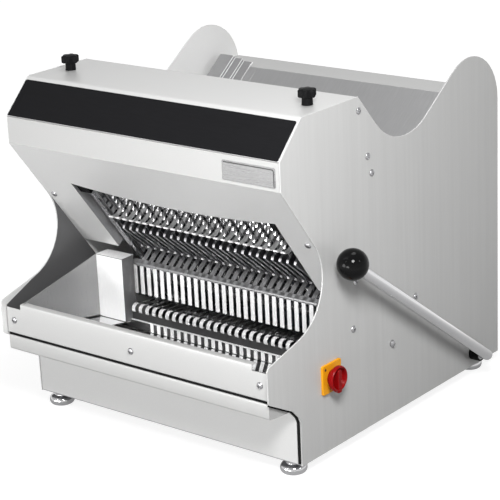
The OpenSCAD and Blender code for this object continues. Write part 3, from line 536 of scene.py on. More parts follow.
# the cover's rounded edges carry the painted highlight rim
softened(shown("left_drive_cover_sheet", cover_mesh, dark_cover, "housing", ("left_drive_cover",)), 0.9, rim=painted_rim_highlight)
left_slot, right_slot, slot_deep = (-199, -181), (209, 227), -1.6
brush_grey = finish("brush strip", (0.38, 0.38, 0.38), 0.7, stretch=(1500, 200, 200), contrast=0.25)
brush_w, brush_top = 5, -0.4
brush_edge = [bed_point(*p) for p in ((bed_from, brush_top), (bed_len, brush_top),
                                      (bed_len, slot_deep), (bed_from, slot_deep))]
for label, x0 in (("a", left_slot[0]), ("b", left_slot[1] - brush_w),
                  ("c", right_slot[0]), ("d", right_slot[1] - brush_w)):
    brush_mesh = mesh_of("brush strip", *prism(brush_edge, x0, x0 + brush_w))
    softened(shown("brush_strip_" + label, brush_mesh, brush_grey, "housing", ()), 0.2)
used_to = 275
slot_end = [bed_point(*p) for p in ((used_to, 0), (bed_len, 0), (bed_len, slot_deep),
                                    (used_to, slot_deep))]
for label, slot in (("left", left_slot), ("right", right_slot)):
    slot_mesh = mesh_of("slot end", *prism(slot_end, *slot))
    softened(shown(label + "_slot_end", slot_mesh, bed_steel, "housing", ()), 0.2)
carried("right_side_cover", "right_side_cover_sheet", dark_cover, "housing", 0.5)
carried("hood_back", "hood_rear_wall", rear_sheet, "housing", 0.4)


# Pusher: a plate across the bed on the two lever arms, with a fin between every pair of
# blades so that it can clear the last slices out of the blade frames. Each fin's front
# corner is rolled to a tip whose near-white colour is a painted highlight.
def outline_sheet(path, thickness, x0, x1):
    path = [Vector(p) for p in path]
    other = []
    for i, here in enumerate(path):
        before = (here - path[i - 1]).normalized() if i else (path[1] - here).normalized()
        after = (path[i + 1] - here).normalized() if i < len(path) - 1 else before
        a, b = Vector((-before.y, before.x)), Vector((-after.y, after.x))
        other.append(here + thickness * (a + b) / (1 + a.dot(b)))
    return prism(path + other[::-1], x0, x1)


def hem(centre, radius, width, sides=16):
    ring = [Vector(centre) + radius * Vector((math.cos(a), math.sin(a)))
            for a in [2 * math.pi * k / sides for k in range(sides)]]
    return mesh_of("hem", *prism(ring, -width / 2, width / 2))


pusher_steel = finish("pusher steel", (0.50, 0.50, 0.51), 0.3, metal=1.0,
                      stretch=(300, 300, 900), contrast=0.1)
along_strip = (900, 60, 60)
# near-white, a painted highlight on the finger hems and the fin tips
hem_highlight_steel = finish("rolled hem painted highlight", (0.97, 0.97, 0.97), 0.2, metal=0.2, stretch=along_strip,
                   contrast=0.02)
push_u, push_v, push_h, push_t, push_fold = 34, 5, 85, 2, 14
push_left, push_right = mouth_left + 10, mouth_right - 10
plate_path = [bed_point(push_u + push_fold, push_v + push_h), bed_point(push_u, push_v + push_h),
              bed_point(push_u, push_v)]
plate_mesh = mesh_of("pusher plate",
                     *outline_sheet(rounded(plate_path, 3), push_t, push_left, push_right))
softened(shown("pusher_plate", plate_mesh, pusher_steel, "lever", ("pusher_plate",)), 0.3)
between = {"Count": blade_n - 1, "First": ((blade_first + slice_w / 2) * MM, 0, 0),
           "Step": (slice_w * MM, 0, 0)}
fin_t, fin_tip_r = 5, 1.7
fin_edge = rounded([(push_u, push_v), (-2, push_v + 2), (-20, 82), (-15, 85), (push_u, 86)],
                   [0, 3, 2, 2, 0], 4, True)
fin_shape = mesh_of("fin", *prism([bed_point(*p) for p in fin_edge], -fin_t / 2, fin_t / 2))
fins = copies(row_tree, "pusher fins", fin_shape, dict(between, Finish=pusher_steel))
softened(shown("pusher_fins", fins, pusher_steel, "lever", ()), 0.4)
tips = copies(row_tree, "fin tips", hem(bed_point(-2.5, 6.5), fin_tip_r, fin_t),
              dict(between, Finish=hem_highlight_steel))
softened(shown("pusher_fin_tips", tips, hem_highlight_steel, "lever", ()), 0.3)

# Upper comb: satin strips between the blades that hold the loaf down, welded to a cross
# sheet under the hood. Each strip curls up towards the mouth and ends in a rolled hem, in a
# near-white copy of the strip's finish that paints the highlight at the bend.
finger_steel = finish("satin finger steel", (0.78, 0.78, 0.78), 0.35, metal=0.25,
                      stretch=along_strip, contrast=0.05, relief=0.02)
bar_w, sheet_t, cover_x = 9, 1.5, 277.5
loaf_h, comb_rear, comb_front, finger_rear = 112, 186, 62, 70
curl_u, curl_r = -8, 20
hem_r, hem_w = 1.8, 8
curl = [(finger_rear, loaf_h), (curl_u, loaf_h)]
curl += [(curl_u + curl_r * math.cos(a), loaf_h + curl_r + curl_r * math.sin(a))
         for a in [math.radians(d) for d in range(-100, -152, -6)]]
finger_path = [bed_point(*p) for p in curl]
finger_shape = mesh_of("finger", *outline_sheet(finger_path, sheet_t, -bar_w / 2, bar_w / 2))
fingers = copies(row_tree, "comb fingers", finger_shape, dict(between, Finish=finger_steel))
softened(shown("upper_comb_fingers", fingers, finger_steel, "housing", ()), 0.4)
hems = copies(row_tree, "finger hems", hem(finger_path[-1], hem_r, hem_w),
              dict(between, Finish=hem_highlight_steel))
softened(shown("upper_comb_hems", hems, hem_highlight_steel, "housing", ()), 0.3)
strip_path = [bed_point(comb_rear, loaf_h), bed_point(comb_front, loaf_h)]
strip_mesh = mesh_of("comb strip", *outline_sheet(strip_path, sheet_t, -cover_x, cover_x))
softened(shown("upper_comb_sheet", strip_mesh, finger_steel, "housing", ("upper_comb",)), 0.3)

# Outfeed grid: satin bars that carry the slices on from the bed, a folded cross sheet at
# the bend, and bright bars that hang from it. A plain sheet closes the grid on the right.
grid_steel = finish("satin grid steel", (0.34, 0.34, 0.345), 0.3, metal=0.6,
                    stretch=along_strip, contrast=0.05, relief=0.02)
drop_steel = finish("bright bar steel", (0.95, 0.95, 0.95), 0.25, metal=0.3,
                    stretch=along_strip, contrast=0.03, relief=0.02)
grid_bend, fold_from = bed_point(-34, 0), bed_point(-25, 0)
grid_low, grid_left = 150 + foot_h, mouth_left + 10
drop_half, fold_r, fold_drop = bar_w / 2 - 0.6, 3, 4
bar_path = [bed_point(15, 0), bed_point(-33, 0)]
bar_shape = mesh_of("bar", *outline_sheet(bar_path, sheet_t, -bar_w / 2, bar_w / 2))
bars = copies(row_tree, "outfeed bars", bar_shape, dict(between, Finish=grid_steel))
softened(shown("outfeed_bars", bars, grid_steel, "housing", ()), 0.3)
drop_path = [(grid_bend.x, grid_bend.y - 2), (grid_bend.x, grid_low)]
drop_shape = mesh_of("drop bar", *outline_sheet(drop_path, sheet_t, -drop_half, drop_half))
drops = copies(row_tree, "outfeed drop bars", drop_shape, dict(
    between, Count=blade_n, First=((blade_first - slice_w / 2) * MM, 0, 0), Finish=drop_steel))
softened(shown("outfeed_drop_bars", drops, drop_steel, "housing", ()), 0.3)
last_slot = blade_first + (blade_n - 1) * slice_w + 3
for piece, nodes, low, thick, x0 in (
        ("cross", ("outfeed_grid",), grid_bend.y - fold_drop, sheet_t - 0.2, grid_left),
        ("end", (), grid_low, sheet_t, last_slot)):
    fold_path = rounded([fold_from, grid_bend, (grid_bend.x, low)], fold_r)
    fold_mesh = mesh_of("outfeed sheet", *outline_sheet(fold_path, thick, x0, cover_x))
    softened(shown("outfeed_" + piece + "_sheet", fold_mesh, grid_steel, "housing", nodes), 0.3)

# Lower comb: polished strips under the grid, on a cross sheet at the rear. They carry the
# slices down to the trough, and their free ends are curled over into noses in a near-white
# copy of the steel, a painted highlight.
comb_steel = finish("polished comb steel", (0.88, 0.88, 0.885), 0.12, metal=1.0,
                    stretch=along_strip, contrast=0.05, relief=0.02)
# near-white copy of the comb steel for the noses: a painted highlight
nose_highlight_steel = finish("nose steel painted highlight", (0.97, 0.97, 0.975), 0.22, metal=0.5,
                    stretch=along_strip, contrast=0.04, relief=0.02)
nose_y, nose_z, nose_r, nose_half = -140, cut_z - 94, 9, bar_w / 2 - 1
nose = [(-77, cut_z - 90)]
nose += [(nose_y + nose_r * math.cos(a), nose_z + nose_r * math.sin(a))
         for a in [math.radians(d) for d in range(70, 220, 14)]]
for piece, path, steel in (("fingers", nose[:2], comb_steel), ("noses", nose[1:], nose_highlight_steel)):
    nose_shape = mesh_of("nose", *outline_sheet(path, sheet_t, -nose_half, nose_half))
    noses = copies(row_tree, "lower comb " + piece, nose_shape, dict(between, Finish=steel))
    softened(shown("lower_comb_" + piece, noses, steel, "housing", ()), 0.4)
low_path = [nose[0], Vector(nose[0]) + 0.25 * (Vector(nose[1]) - Vector(nose[0]))]
low_mesh = mesh_of("lower comb sheet", *outline_sheet(low_path, sheet_t, -cover_x, cover_x))
softened(shown("lower_comb_sheet", low_mesh, comb_steel, "housing", ("lower_comb",)), 0.3)


# Trough and guides: mirror-polished sheet under the outlet, folded up in front, with a wall
# at each side. A near-black riser closes its back as a painted shade, and bright bars and a
# rail on it paint the reflected stripes of the hanging bars and a lit edge. A box with bright
# skins on its face and top closes the drive off on the left, its sides a painted shade, and a
# dark sheet on the left panel inside the mouth paints the shade there.
def plate_between(x0, x1, y0, y1, thick, corner):
    edge = rounded([(x0, y0), (x1, y0), (x1, y1), (x0, y1)], corner, 6, True)
    count = len(edge)
    verts = [(p.x, p.y, 0) for p in edge] + [(p.x, p.y, thick) for p in edge]
    faces = [(k, (k + 1) % count, count + (k + 1) % count, count + k) for k in range(count)]
    return verts, faces + [tuple(range(count))[::-1], tuple(range(count, 2 * count))]


trough_steel = finish("polished trough steel", (0.86, 0.86, 0.865), 0.06, metal=1.0,
                      stretch=(600, 40, 600), contrast=0.03, relief=0.01)
# near-black sheet for the trough's rear riser, where there is only shade: a painted shade
painted_shade_riser_sheet = finish("dark satin sheet", (0.045, 0.045, 0.046), 0.4, metal=0.3,
                     stretch=along_strip, contrast=0.06)
tip_y, riser_y = -346, -137
guide_x, riser_left, trough_right = -240, -180, mouth_right + 21.5
trough_low, trough_lip = (tip_y + 25, 135 + foot_h), (tip_y + 12, 150 + foot_h)
for piece, nodes, rear_z, x0, x1 in (("trough_left_end", (), 104, guide_x, riser_left),
                                     ("trough", ("trough_sheet",), 90, riser_left, trough_right)):
    trough_path = rounded([(riser_y, rear_z + foot_h), trough_low, trough_lip], [0, 6, 0])
    trough_mesh = mesh_of("trough", *outline_sheet(trough_path, sheet_t, x0, x1))
    softened(shown(piece, trough_mesh, trough_steel, "housing", nodes), 0.3)
riser_low, riser_high, riser_bar_t = 91 + foot_h, 124 + foot_h, 1.0
rail_low, rail_high, rail_front = 107.2 + foot_h, 108.6 + foot_h, riser_y - 3.5
riser_path = [(riser_y, riser_high), (riser_y, riser_low)]
riser_mesh = mesh_of("riser", *outline_sheet(riser_path, sheet_t, guide_x, trough_right))
softened(shown("trough_riser", riser_mesh, painted_shade_riser_sheet, "housing", ()), 0.3)
# bright bars on the riser paint the stripes that the trough floor reflects from the hanging bars
riser_bar_path = [(riser_y - 1.2, 106.5 + foot_h), (riser_y - 1.2, riser_low)]
riser_bar = mesh_of("riser bar", *outline_sheet(riser_bar_path, riser_bar_t, -nose_half, nose_half))
riser_bars = copies(row_tree, "riser bars", riser_bar, dict(
    between, Count=blade_n - 3, First=((blade_first + 2.5 * slice_w) * MM, 0, 0), Finish=drop_steel))
softened(shown("trough_riser_bars", riser_bars, drop_steel, "housing", ()), 0.2)
# a bright rail along the riser paints a lit edge line
rail_edge = [(rail_front, rail_low), (riser_y - 0.5, rail_low), (riser_y - 0.5, rail_high),
             (rail_front, rail_high)]
rail_mesh = mesh_of("riser rail", *prism(rail_edge, riser_left, trough_right - 0.5))
softened(shown("trough_riser_rail", rail_mesh, drop_steel, "housing", ()), 0.2)
guide_sheet = finish("guide sheet", (0.30, 0.30, 0.30), 0.32, metal=0.5,
                     stretch=(900, 900, 60), contrast=0.03)
box_front, box_rear, box_top = -155, -126, 220
left_wall = [(tip_y + 13, 152), (tip_y + 13, 184), (box_front, box_top), (riser_y, box_top),
             (riser_y, 106), (tip_y + 25, 137)]
right_wall = [(tip_y + 13, 152), (-300, 163), (-240, 178), (-200, 194), (-160, 216), (riser_y, 220),
              (riser_y, 104), (tip_y + 25, 134)]
for side, wall, x0 in (("left", left_wall, guide_x), ("right", right_wall, trough_right - sheet_t)):
    wall_mesh = mesh_of("guide", *prism([(y, z + foot_h) for y, z in wall], x0, x0 + sheet_t))
    softened(shown(side + "_guide_wall", wall_mesh, guide_sheet, "housing", (side + "_guide",)), 0.4)
# dark sheet for the left panel inside the mouth and the guide box's sides: a painted shade
painted_shade_inner_sheet = finish("mouth liner sheet", (0.12, 0.12, 0.122), 0.4, metal=0.3)
box_sheet = finish("bright box sheet", (0.97, 0.97, 0.97), 0.25, metal=0.0,
                   stretch=(900, 900, 60), contrast=0.02)
# the box body takes the dark sheet, so its sides show a painted shade; bright skins cover its face and top
box_edge = rounded([(box_front, 105), (box_front, box_top), (box_rear, box_top), (box_rear, 105)],
                   [0, 2, 2, 0], 4, True)
box_body = mesh_of("left guide box", *prism([(p[0], p[1] + foot_h) for p in box_edge],
                                            guide_x + 2, riser_left))
softened(shown("left_guide_box", box_body, painted_shade_inner_sheet, "housing", ()), 0.5)
skin_x, skin_t, skin_corner = guide_x + 1.5, 0.5, 0.8
upright = Matrix.Rotation(math.radians(90), 4, "X")
for piece, y0, y1, place in (
        ("face", 108 + foot_h, box_top + foot_h - 1, Matrix.Translation((0, box_front * MM, 0)) @ upright),
        ("top", box_front, box_rear, Matrix.Translation((0, 0, (box_top + foot_h) * MM)))):
    skin_mesh = mesh_of("box skin", *plate_between(skin_x, riser_left, y0, y1, skin_t, skin_corner), place)
    softened(shown("left_box_" + piece, skin_mesh, box_sheet, "housing", ()), 0.15)
# a dark plate on the left panel's inner face inside the mouth paints the shade there
cut_centre, mouth_shade_r = bed_point(-117, 169), 88.5
mouth_shade_edge = [cut_centre + mouth_shade_r * Vector((math.cos(math.radians(a)), math.sin(math.radians(a))))
         for a in range(34, -77, -5)]
mouth_shade_edge += [Vector((tip_y + 12, 176 + foot_h)), Vector(trough_lip), bed_point(-31, -60)]
mouth_shade_mesh = mesh_of("mouth shade plate", *prism(mouth_shade_edge, -278, -277.4))
softened(shown("left_mouth_liner", mouth_shade_mesh, painted_shade_inner_sheet, "housing", ()), 0)

# Front panel and hood: the lip and cheeks are one pressed sheet, with a flange folded in at
# the left of the mouth. The top cover is another sheet, folded over a wide bend and held
# down by the two thumb knobs.
lip_sheet = finish("satin lip sheet", (0.76, 0.76, 0.755), 0.4, metal=0.3, contrast=0.03)
front_face_shade_sheet = finish("satin face sheet", (0.46, 0.46, 0.455), 0.45, metal=0.1, contrast=0.03)
# the flange at the left of the mouth is a darker copy of the lip sheet: a painted shade
flange_shade_sheet = finish("satin flange sheet", (0.30, 0.30, 0.305), 0.3, metal=0.2, contrast=0.03)
hood_sheet = finish("satin hood sheet", (0.66, 0.66, 0.655), 0.40, metal=0.35, contrast=0.03)
flange_front, flange_rear, flange_low, flange_high = -29.8, -10, 38, 222
flange_edge = [bed_point(*p) for p in ((flange_front, flange_low), (flange_rear, flange_low),
                                       (flange_rear, flange_high), (flange_front, flange_high))]
flange_mesh = mesh_of("mouth flange", *prism(flange_edge, mouth_left - 1.4, mouth_left + 0.2))
softened(shown("left_mouth_flange", flange_mesh, flange_shade_sheet, "housing", ()), 0.3)
front_panel = carried("front_panel", "front_panel_sheet", lip_sheet, "housing", 0.7)
# faces of the pressed sheet that look straight forward take a darker copy of its finish: a painted shade
front_panel.data.materials.append(front_face_shade_sheet)
for face in front_panel.data.polygons:
    face.material_index = 1 if face.normal.y < -0.95 else 0
face_y, face_low = -297, 444.33 + foot_h
band_low, hood_top = face_low + 46, face_low + 100.7
band_top_y, hood_rear, hood_skirt = -242.3, -101, 28
hood_path = rounded([(hood_rear, hood_top - hood_skirt), (hood_rear, hood_top), (band_top_y, hood_top),
                     (face_y, band_low)], [0, 2.5, 10, 0], 7)
hood_mesh = mesh_of("hood cover", *outline_sheet(hood_path, sheet_t, -cover_x, cover_x))
softened(shown("hood_cover", hood_mesh, hood_sheet, "housing", ("top_cover",)), 0.5)

# Band: a thin black anodised strip, glued along the incline of the hood from one side panel
# to the other. Its corners are barely rounded.
band_black = finish("black band", (0.010, 0.010, 0.011), 0.40, stretch=(30, 1200, 1200),
                    contrast=0.12, marks=0.1, shine=0.04)
band_slope, band_half, band_from, band_to, band_t = math.radians(45), 276.5, 0.4, 69.5, 1.2
band_place = (Matrix.Translation(Vector((0, face_y, band_low)) * MM)
              @ Matrix.Rotation(band_slope, 4, "X"))
band_mesh = mesh_of("band", *plate_between(-band_half, band_half, band_from, band_to, band_t, 2.5),
                    band_place)
softened(shown("hood_band", band_mesh, band_black, "housing", ("band_trim",)), 0.35)

# Bare plate: a small brushed steel plate with round corners, glued on the hood face and left
# plain. A thin dark line lies along its top and its right side.
bare_steel = finish("brushed bare plate", (0.26, 0.26, 0.26), 0.28, metal=0.9,
                    stretch=(30, 2500, 2500), contrast=0.05)
line_dark = finish("dark plate line", (0.03, 0.03, 0.03), 0.5, contrast=0.1)
plate_x1, plate_z0, plate_w, plate_h, plate_t = 271.5, face_low + 5, 100, 31, 0.8
flat_on_face = Matrix.Translation(Vector((0, face_y, 0)) * MM) @ upright
bare_mesh = mesh_of("bare plate", *plate_between(plate_x1 - plate_w, plate_x1, plate_z0,
                                                 plate_z0 + plate_h, plate_t, 3), flat_on_face)
softened(shown("bare_plate", bare_mesh, bare_steel, "housing", ("blank_plate",)), 0.2)
line_x0, line_x1, line_z0, line_z1 = plate_x1 - 97, plate_x1 - 2, plate_z0 + 2, plate_z0 + 29
line_w, line_r, line_top = 1.7, 4, 0.95
outer = rounded([(line_x0, line_z1), (line_x1, line_z1), (line_x1, line_z0)], [0, line_r, 0], 6)
inner = rounded([(line_x0, line_z1 - line_w), (line_x1 - line_w, line_z1 - line_w),
                 (line_x1 - line_w, line_z0)], [0, line_r - line_w, 0], 6)
line_n = len(outer)
line_verts = [(p[0], p[1], h) for h in (plate_t, line_top) for path in (outer, inner) for p in path]
line_faces = []
for k in range(line_n - 1):
    o0, i0, o1, i1 = k, line_n + k, 2 * line_n + k, 3 * line_n + k
    line_faces += [(o1, i1, i1 + 1, o1 + 1), (o0, o1, o1 + 1, o0 + 1), (i0, i0 + 1, i1 + 1, i1),
                   (o0, o0 + 1, i0 + 1, i0)]
line_faces += [(0, line_n, 3 * line_n, 2 * line_n),
               (line_n - 1, 3 * line_n - 1, 4 * line_n - 1, 2 * line_n - 1)]
line_mesh = mesh_of("plate line", line_verts, line_faces, flat_on_face)
shown("plate_line", line_mesh, line_dark, "housing", ())


# Apron and crumb drawer: folded satin sheet. The apron's top corners are notched, the
# drawer's lip is the handle, and the crumb tray behind it runs on the base pan's two rails.
# A black strip on the lip paints the shade in the gap under the apron, and a black strip along
# the right panel's notch beside it paints the shade in that gap.
def cut_out(mesh, cutters):
    body = bpy.data.objects.new("whole", mesh)
    tools = [bpy.data.objects.new("cutter", cutter) for cutter in cutters]
    for used in [body] + tools:
        bpy.context.scene.collection.objects.link(used)
    for tool in tools:
        cut = body.modifiers.new("cut", "BOOLEAN")
        cut.object, cut.operation, cut.solver = tool, "DIFFERENCE", "EXACT"
    graph = bpy.context.evaluated_depsgraph_get()
    left_over = bpy.data.meshes.new_from_object(body.evaluated_get(graph), depsgraph=graph)
    for used in [body] + tools:
        bpy.data.objects.remove(used)
    return left_over


apron_sheet = finish("satin apron sheet", (0.57, 0.57, 0.565), 0.38, metal=0.3, contrast=0.03)
tip_top, tip_low = 186 + foot_h, 131 + foot_h
apron_y, apron_top, apron_low = tip_y + 9, tip_top - 2.8, tip_low - 1.7
notch_w, notch_d, notch_spare = 34, 9.5, 3
apron_path = rounded([(apron_y + 12, apron_top), (apron_y, apron_top), (apron_y, apron_low),
                      (apron_y + 9, apron_low)], [0, 2.5, 2, 0])
notch_edge = [(apron_y - notch_spare, apron_top - notch_d), (apron_y + 15, apron_top - notch_d),
              (apron_y + 15, apron_top + notch_spare), (apron_y - notch_spare, apron_top + notch_spare)]
notches = [mesh_of("notch", *prism(notch_edge, x0, x1)) for x0, x1 in (
    (-cover_x - notch_spare, notch_w - cover_x), (cover_x - notch_w, cover_x + notch_spare))]
apron_mesh = mesh_of("apron", *outline_sheet(apron_path, sheet_t, 1.2 - cover_x, cover_x))
softened(shown("front_apron_sheet", cut_out(apron_mesh, notches), apron_sheet, "housing",
               ("front_apron",)), 0.4)
drawer_shaded_copy = finish("satin drawer sheet", (0.50, 0.50, 0.495), 0.4, metal=0.3, contrast=0.03)
drawer_lit_copy = finish("satin drawer painted light", (0.64, 0.64, 0.635), 0.4, metal=0.3, contrast=0.03)
drawer_x, drawer_y, lip_y, end_t = 274, -273, apron_y - 1, 1.5
lip_top, lip_low, face_from = tip_low - 5.3, tip_low - 31, tip_low - 42
drawer_path = rounded([(apron_y + 15, lip_top), (lip_y, lip_top), (lip_y, lip_low), (-283, tip_low - 36),
                       (drawer_y, tip_low - 46), (drawer_y, 4 + foot_h)], [0, 3, 4, 6, 8, 0])
drawer_mesh = mesh_of("drawer front", *outline_sheet(drawer_path, sheet_t, -drawer_x, drawer_x))
drawer_front = shown("drawer_front_sheet", drawer_mesh, drawer_shaded_copy, "drawer", ("drawer_front",))
# lit and shaded copies of one finish: the lip and ends darker, the face below the lip lighter, as painted shade and
# painted light
drawer_mesh.materials.append(drawer_lit_copy)
for face in drawer_mesh.polygons:
    face.material_index = 1 if face.center.z < face_from * MM else 0
softened(drawer_front, 0.5)
end_outline = rounded([(apron_y + 0.6, tip_low - 6.5), (apron_y + 0.6, tip_low - 30),
                       (-283.5, tip_low - 34.6), (-272, tip_low - 45), (-272, tip_low - 6.5)],
                      [0, 2, 4, 7, 0], 4, True)
for label, x0 in (("left", -drawer_x), ("right", drawer_x - end_t)):
    end_mesh = mesh_of("drawer end", *prism(end_outline, x0, x0 + end_t))
    softened(shown("drawer_end_" + label, end_mesh, drawer_shaded_copy, "drawer", ()), 0.3)
# near-black strips standing in for the shade in the gaps around the drawer: painted shade
gap_shade_black = finish("black painted gap shade", (0.008, 0.008, 0.008), 0.8, stretch=(700, 700, 700), contrast=0.2,
                     shine=0.1)
gap_shade_edge = [(apron_y + y, tip_low + z) for y, z in ((0.4, -5.6), (6, -5.6), (6, -2), (0.4, -2))]
gap_shade_mesh = mesh_of("drawer gap shade", *prism(gap_shade_edge, -drawer_x, drawer_x))
softened(shown("drawer_seal", gap_shade_mesh, gap_shade_black, "drawer", ()), 0.3)
notch_shade_t, notch_shade_x0, notch_shade_x1 = 2.6, 274.4, 277.8
notch_shade_path = rounded([(-270, 4 + foot_h), (-270, 73.9 + foot_h), (-275, 83.9 + foot_h),
                  (-288, 97.9 + foot_h), (-341, 126.4 + foot_h)], [0, 6, 12, 12, 0], 5)
notch_shade_mesh = mesh_of("notch gap shade", *outline_sheet(notch_shade_path, notch_shade_t, notch_shade_x0, notch_shade_x1))
softened(shown("notch_edging", notch_shade_mesh, gap_shade_black, "housing", ()), 0)
carried("crumb_tray", "crumb_tray_box", bed_steel, "drawer", 0.4)

# Lever: a chromed rod on the end of the cross shaft, with a black bush against the panel
# and a glossy phenolic ball screwed on its tip.
lever_x, lever_y, lever_z = half_w + 32, 216, 26 + foot_h
lever_l, lever_a, ball_r, rod_r = 475, math.radians(35.8), 25, 9.5
carried("lever_collar", "lever_bush", black_plastic, "lever", 0.8)
lever_place = (Matrix.Translation(Vector((lever_x, lever_y, lever_z)) * MM)
               @ Matrix.Rotation(math.radians(90) - lever_a, 4, "X"))
rod_foot, rod_end = -1, lever_l - ball_r + 3
rod_side = rounded([(centre_r, rod_foot), (rod_r, rod_foot), (rod_r, rod_end), (centre_r, rod_end)],
                   [0, 5, 0, 0], 6)
softened(shown("lever_rod", mesh_of("lever rod", *turned(rod_side), lever_place), chrome, "lever",
               ("lever_rod",)), 0, angle=40)
shaft_place = (Matrix.Translation(Vector((0, lever_y, lever_z)) * MM)
               @ Matrix.Rotation(math.radians(90), 4, "Y"))
shaft_left, shaft_step, shaft_right, shaft_r, stub_r = -230, lever_x - 13, lever_x + 3, 10, 7.5
shaft_side = rounded([(centre_r, shaft_left), (shaft_r, shaft_left), (shaft_r, shaft_step),
                      (stub_r, shaft_step), (stub_r, shaft_right), (centre_r, shaft_right)],
                     [0, 1, 0.5, 0.5, 2, 0], 4)
softened(shown("lever_shaft", mesh_of("lever shaft", *turned(shaft_side), shaft_place), turned_steel,
               "lever", ("lever_shaft",)), 0, angle=40)
ball_gloss = finish("phenolic ball", (0.003, 0.003, 0.0032), 0.07, contrast=0.1, relief=0.005,
                    marks=0.02, shine=0.11)
ball_steps, ball_flat = 40, 6
ball_side = [(ball_r * math.sin(math.pi * k / ball_steps), -ball_r * math.cos(math.pi * k / ball_steps))
             for k in range(ball_flat, ball_steps)]
ball_side = [(centre_r, ball_side[0][1])] + ball_side + [(0, ball_r)]
ball_place = lever_place @ Matrix.Translation((0, 0, lever_l * MM))
softened(shown("lever_ball", mesh_of("lever ball", *turned(ball_side, 64), ball_place), ball_gloss,
               "lever", ("lever_ball",)), 0, angle=50)

# Main switch: a yellow moulded plate on the lever side with a red rotary knob, and the
# switch body behind the sheet. The knob is a dished cap with a grip bar across it, and a
# small dark disc on the plate paints the shade inside a lock hole.
switch_yellow = finish("yellow switch plate", (0.86, 0.37, 0.010), 0.4, shine=0.2,
                       stretch=(1200, 1200, 1200), contrast=0.05)
switch_red = finish("red switch knob", (0.25, 0.003, 0.004), 0.3, shine=0.1,
                    stretch=(1200, 1200, 1200), contrast=0.06)
lock_hole_shade = finish("painted shade lock hole", (0.05, 0.008, 0.006), 0.6)
carried("switch_body", "switch_body", black_plastic, "housing", 0.5)
switch_y, switch_z, switch_half, switch_t = -192, 122 + foot_h, 24, 4
on_panel = (Matrix.Translation(Vector((half_w, switch_y, switch_z)) * MM)
            @ Matrix.Rotation(math.radians(90), 4, "Z") @ upright)
switch_mesh = mesh_of("switch plate", *plate_between(-switch_half, switch_half, -switch_half, switch_half,
                                                     switch_t, 3), on_panel)
softened(shown("switch_plate", switch_mesh, switch_yellow, "housing", ("switch_plate",)), 0.8, 3)
# a dark disc standing proud on the plate paints the shade of a lock hole
lock_off, lock_r, lock_top = 17, 2.3, switch_t + 0.35
lock_side = [(centre_r, switch_t), (lock_r, switch_t), (lock_r - 0.2, lock_top), (centre_r, lock_top)]
lock_shade_mesh = mesh_of("lock hole shade disc", *turned(lock_side, 20),
                    on_panel @ Matrix.Translation((-lock_off * MM, lock_off * MM, 0)))
softened(shown("switch_lock_hole", lock_shade_mesh, lock_hole_shade, "housing", ()), 0)
knob_side = rounded([(centre_r, 4.3), (14, 4.3), (14, 9.5), (19.5, 11), (20.5, 12.5), (20.5, 17),
                     (19, 19.3), (17.2, 18.3), (14.5, 11.5), (centre_r, 10.5)],
                    [0, 0.6, 1, 1, 0.8, 1.6, 0.8, 0.8, 3, 0], 4)
softened(shown("switch_knob_dish", mesh_of("knob dish", *turned(knob_side), on_panel), switch_red,
               "switch", ("switch_knob",)), 0, angle=40)
grip_half, grip_low, grip_high, grip_t = 4.5, -23, 15, 9.5
grip_mesh = mesh_of("knob grip", *plate_between(-grip_half, grip_half, grip_low, grip_high, grip_t, 2.5),
                    on_panel @ Matrix.Translation((0, 0, grip_t * MM)))
softened(shown("switch_knob_grip", grip_mesh, switch_red, "switch", ()), 1.2, 3)

# Thumb knobs: black moulded heads with six lobes on threaded studs, one at each end of
# the top cover. They screw down into the knob brackets and clamp the cover.
knob_x, knob_y, knob_z = 243, -178.15, hood_top + 0.3
stem_side = rounded([(centre_r, 0), (9, 0), (8.6, 2), (8.3, 11), (10, 13), (centre_r, 13)],
                    [0, 0.5, 1, 1.5, 1, 0], 4)
lobe_n, lobe_r, lobe_d, lobe_steps, cap_low, cap_high = 6, 13.2, 1.7, 96, 12, 24.5
cap_edge = [(lobe_r + lobe_d * math.cos(lobe_n * a)) * Vector((math.cos(a), math.sin(a)))
            for a in [2 * math.pi * k / lobe_steps for k in range(lobe_steps)]]
cap_rings = [(cap_low, 0.86), (cap_low + 1.2, 0.98), (cap_low + 2.2, 1), (cap_high - 2.4, 1),
             (cap_high - 0.9, 0.95), (cap_high, 0.82)]
cap_verts = [(p.x * scale, p.y * scale, z) for z, scale in cap_rings for p in cap_edge]
cap_faces = []
for low in range(0, (len(cap_rings) - 1) * lobe_steps, lobe_steps):
    for k in range(lobe_steps):
        after = (k + 1) % lobe_steps
        cap_faces.append((low + k, low + after, low + lobe_steps + after, low + lobe_steps + k))
cap_faces += [tuple(range(lobe_steps))[::-1], tuple(range(len(cap_verts) - lobe_steps, len(cap_verts)))]
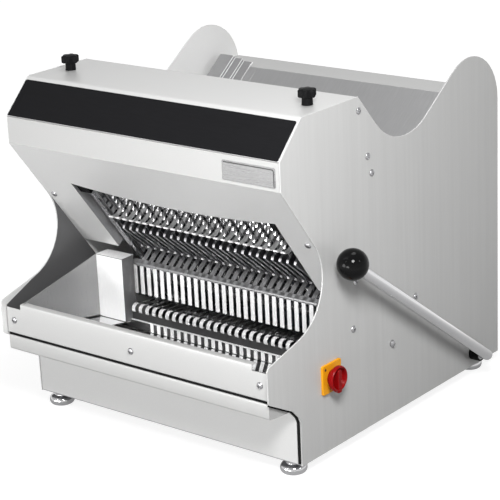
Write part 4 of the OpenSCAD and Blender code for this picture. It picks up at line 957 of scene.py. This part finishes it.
for name, side, body in (("left_thumb_knob", -1, "left_knob"), ("right_thumb_knob", 1, "right_knob")):
    place = Matrix.Translation(Vector((side * knob_x, knob_y, knob_z)) * MM)
    softened(shown(name, mesh_of(name, *turned(stem_side), place), black_plastic, body, (name,)), 0, angle=40)
    softened(shown(name + "_cap", mesh_of(name, cap_verts, cap_faces, place), black_plastic, body, ()), 0, angle=40)

# Screws: zinc-plated pan heads with a cross recess. They hold the side panels, the apron and
# the cheeks, and a plug of the same finish closes one hole in the lever side.
screw_zinc = finish("zinc screw", (0.40, 0.40, 0.41), 0.25, metal=1.0, stretch=(500, 500, 500),
                    contrast=0.06)
head_r, head_foot, head_rim, dome_h = 5.5, -0.3, 0.9, 2.3
head_outline = [(centre_r, head_foot), (head_r, head_foot), (head_r, head_rim)]
head_outline += [(head_r * math.cos(a), head_rim + dome_h * math.sin(a)) for a in (0.3, 0.6, 0.9, 1.2, 1.4)]
head_outline += [(centre_r, 3.2)]
recess_half_w, recess_half_l, recess_low = 0.65, 3, 1.6
recess = plate_between(-recess_half_w, recess_half_w, -recess_half_l, recess_half_l, 4, 0.3)
recesses = [mesh_of("recess", *recess, Matrix.Rotation(math.radians(turn), 4, "Z")
                    @ Matrix.Translation((0, 0, recess_low * MM))) for turn in (0, 90)]
screw_mesh = cut_out(mesh_of("screw head", *turned(head_outline, 28)), recesses)


def screws(name, nodes, turn, axis, places):
    facing = screw_mesh.copy()
    facing.transform(Matrix.Rotation(turn, 4, axis))
    mesh = copies(point_tree, name, facing, {"Finish": screw_zinc}, places)
    softened(shown(name, mesh, screw_zinc, "housing", nodes), 0)


panel_places = [(-101, hood_top - 22), (-80, hood_top - 98), (-70, hood_top - 127)]
panel_places += [tuple(bed_point(*p)) for p in ((-54, -16), (-2, 39), (85, -119))]
for label, side in (("right", 1), ("left", -1)):
    screws(label + "_screws", (label + "_panel_screws",), math.radians(90 * side), "Y",
           [(side * half_w, *p) for p in panel_places])
carried("panel_plug", "panel_plug_head", screw_zinc, "housing", 0.5)
screws("apron_screws", ("front_screws",), math.radians(90), "X",
       [(x, apron_y, tip_top - 33) for x in (-259, -0.5, 258)])
screws("cheek_screws", (), math.radians(90) + bed_tilt, "X",
       [(x, *bed_point(-30, 166)) for x in (-263, 266)])
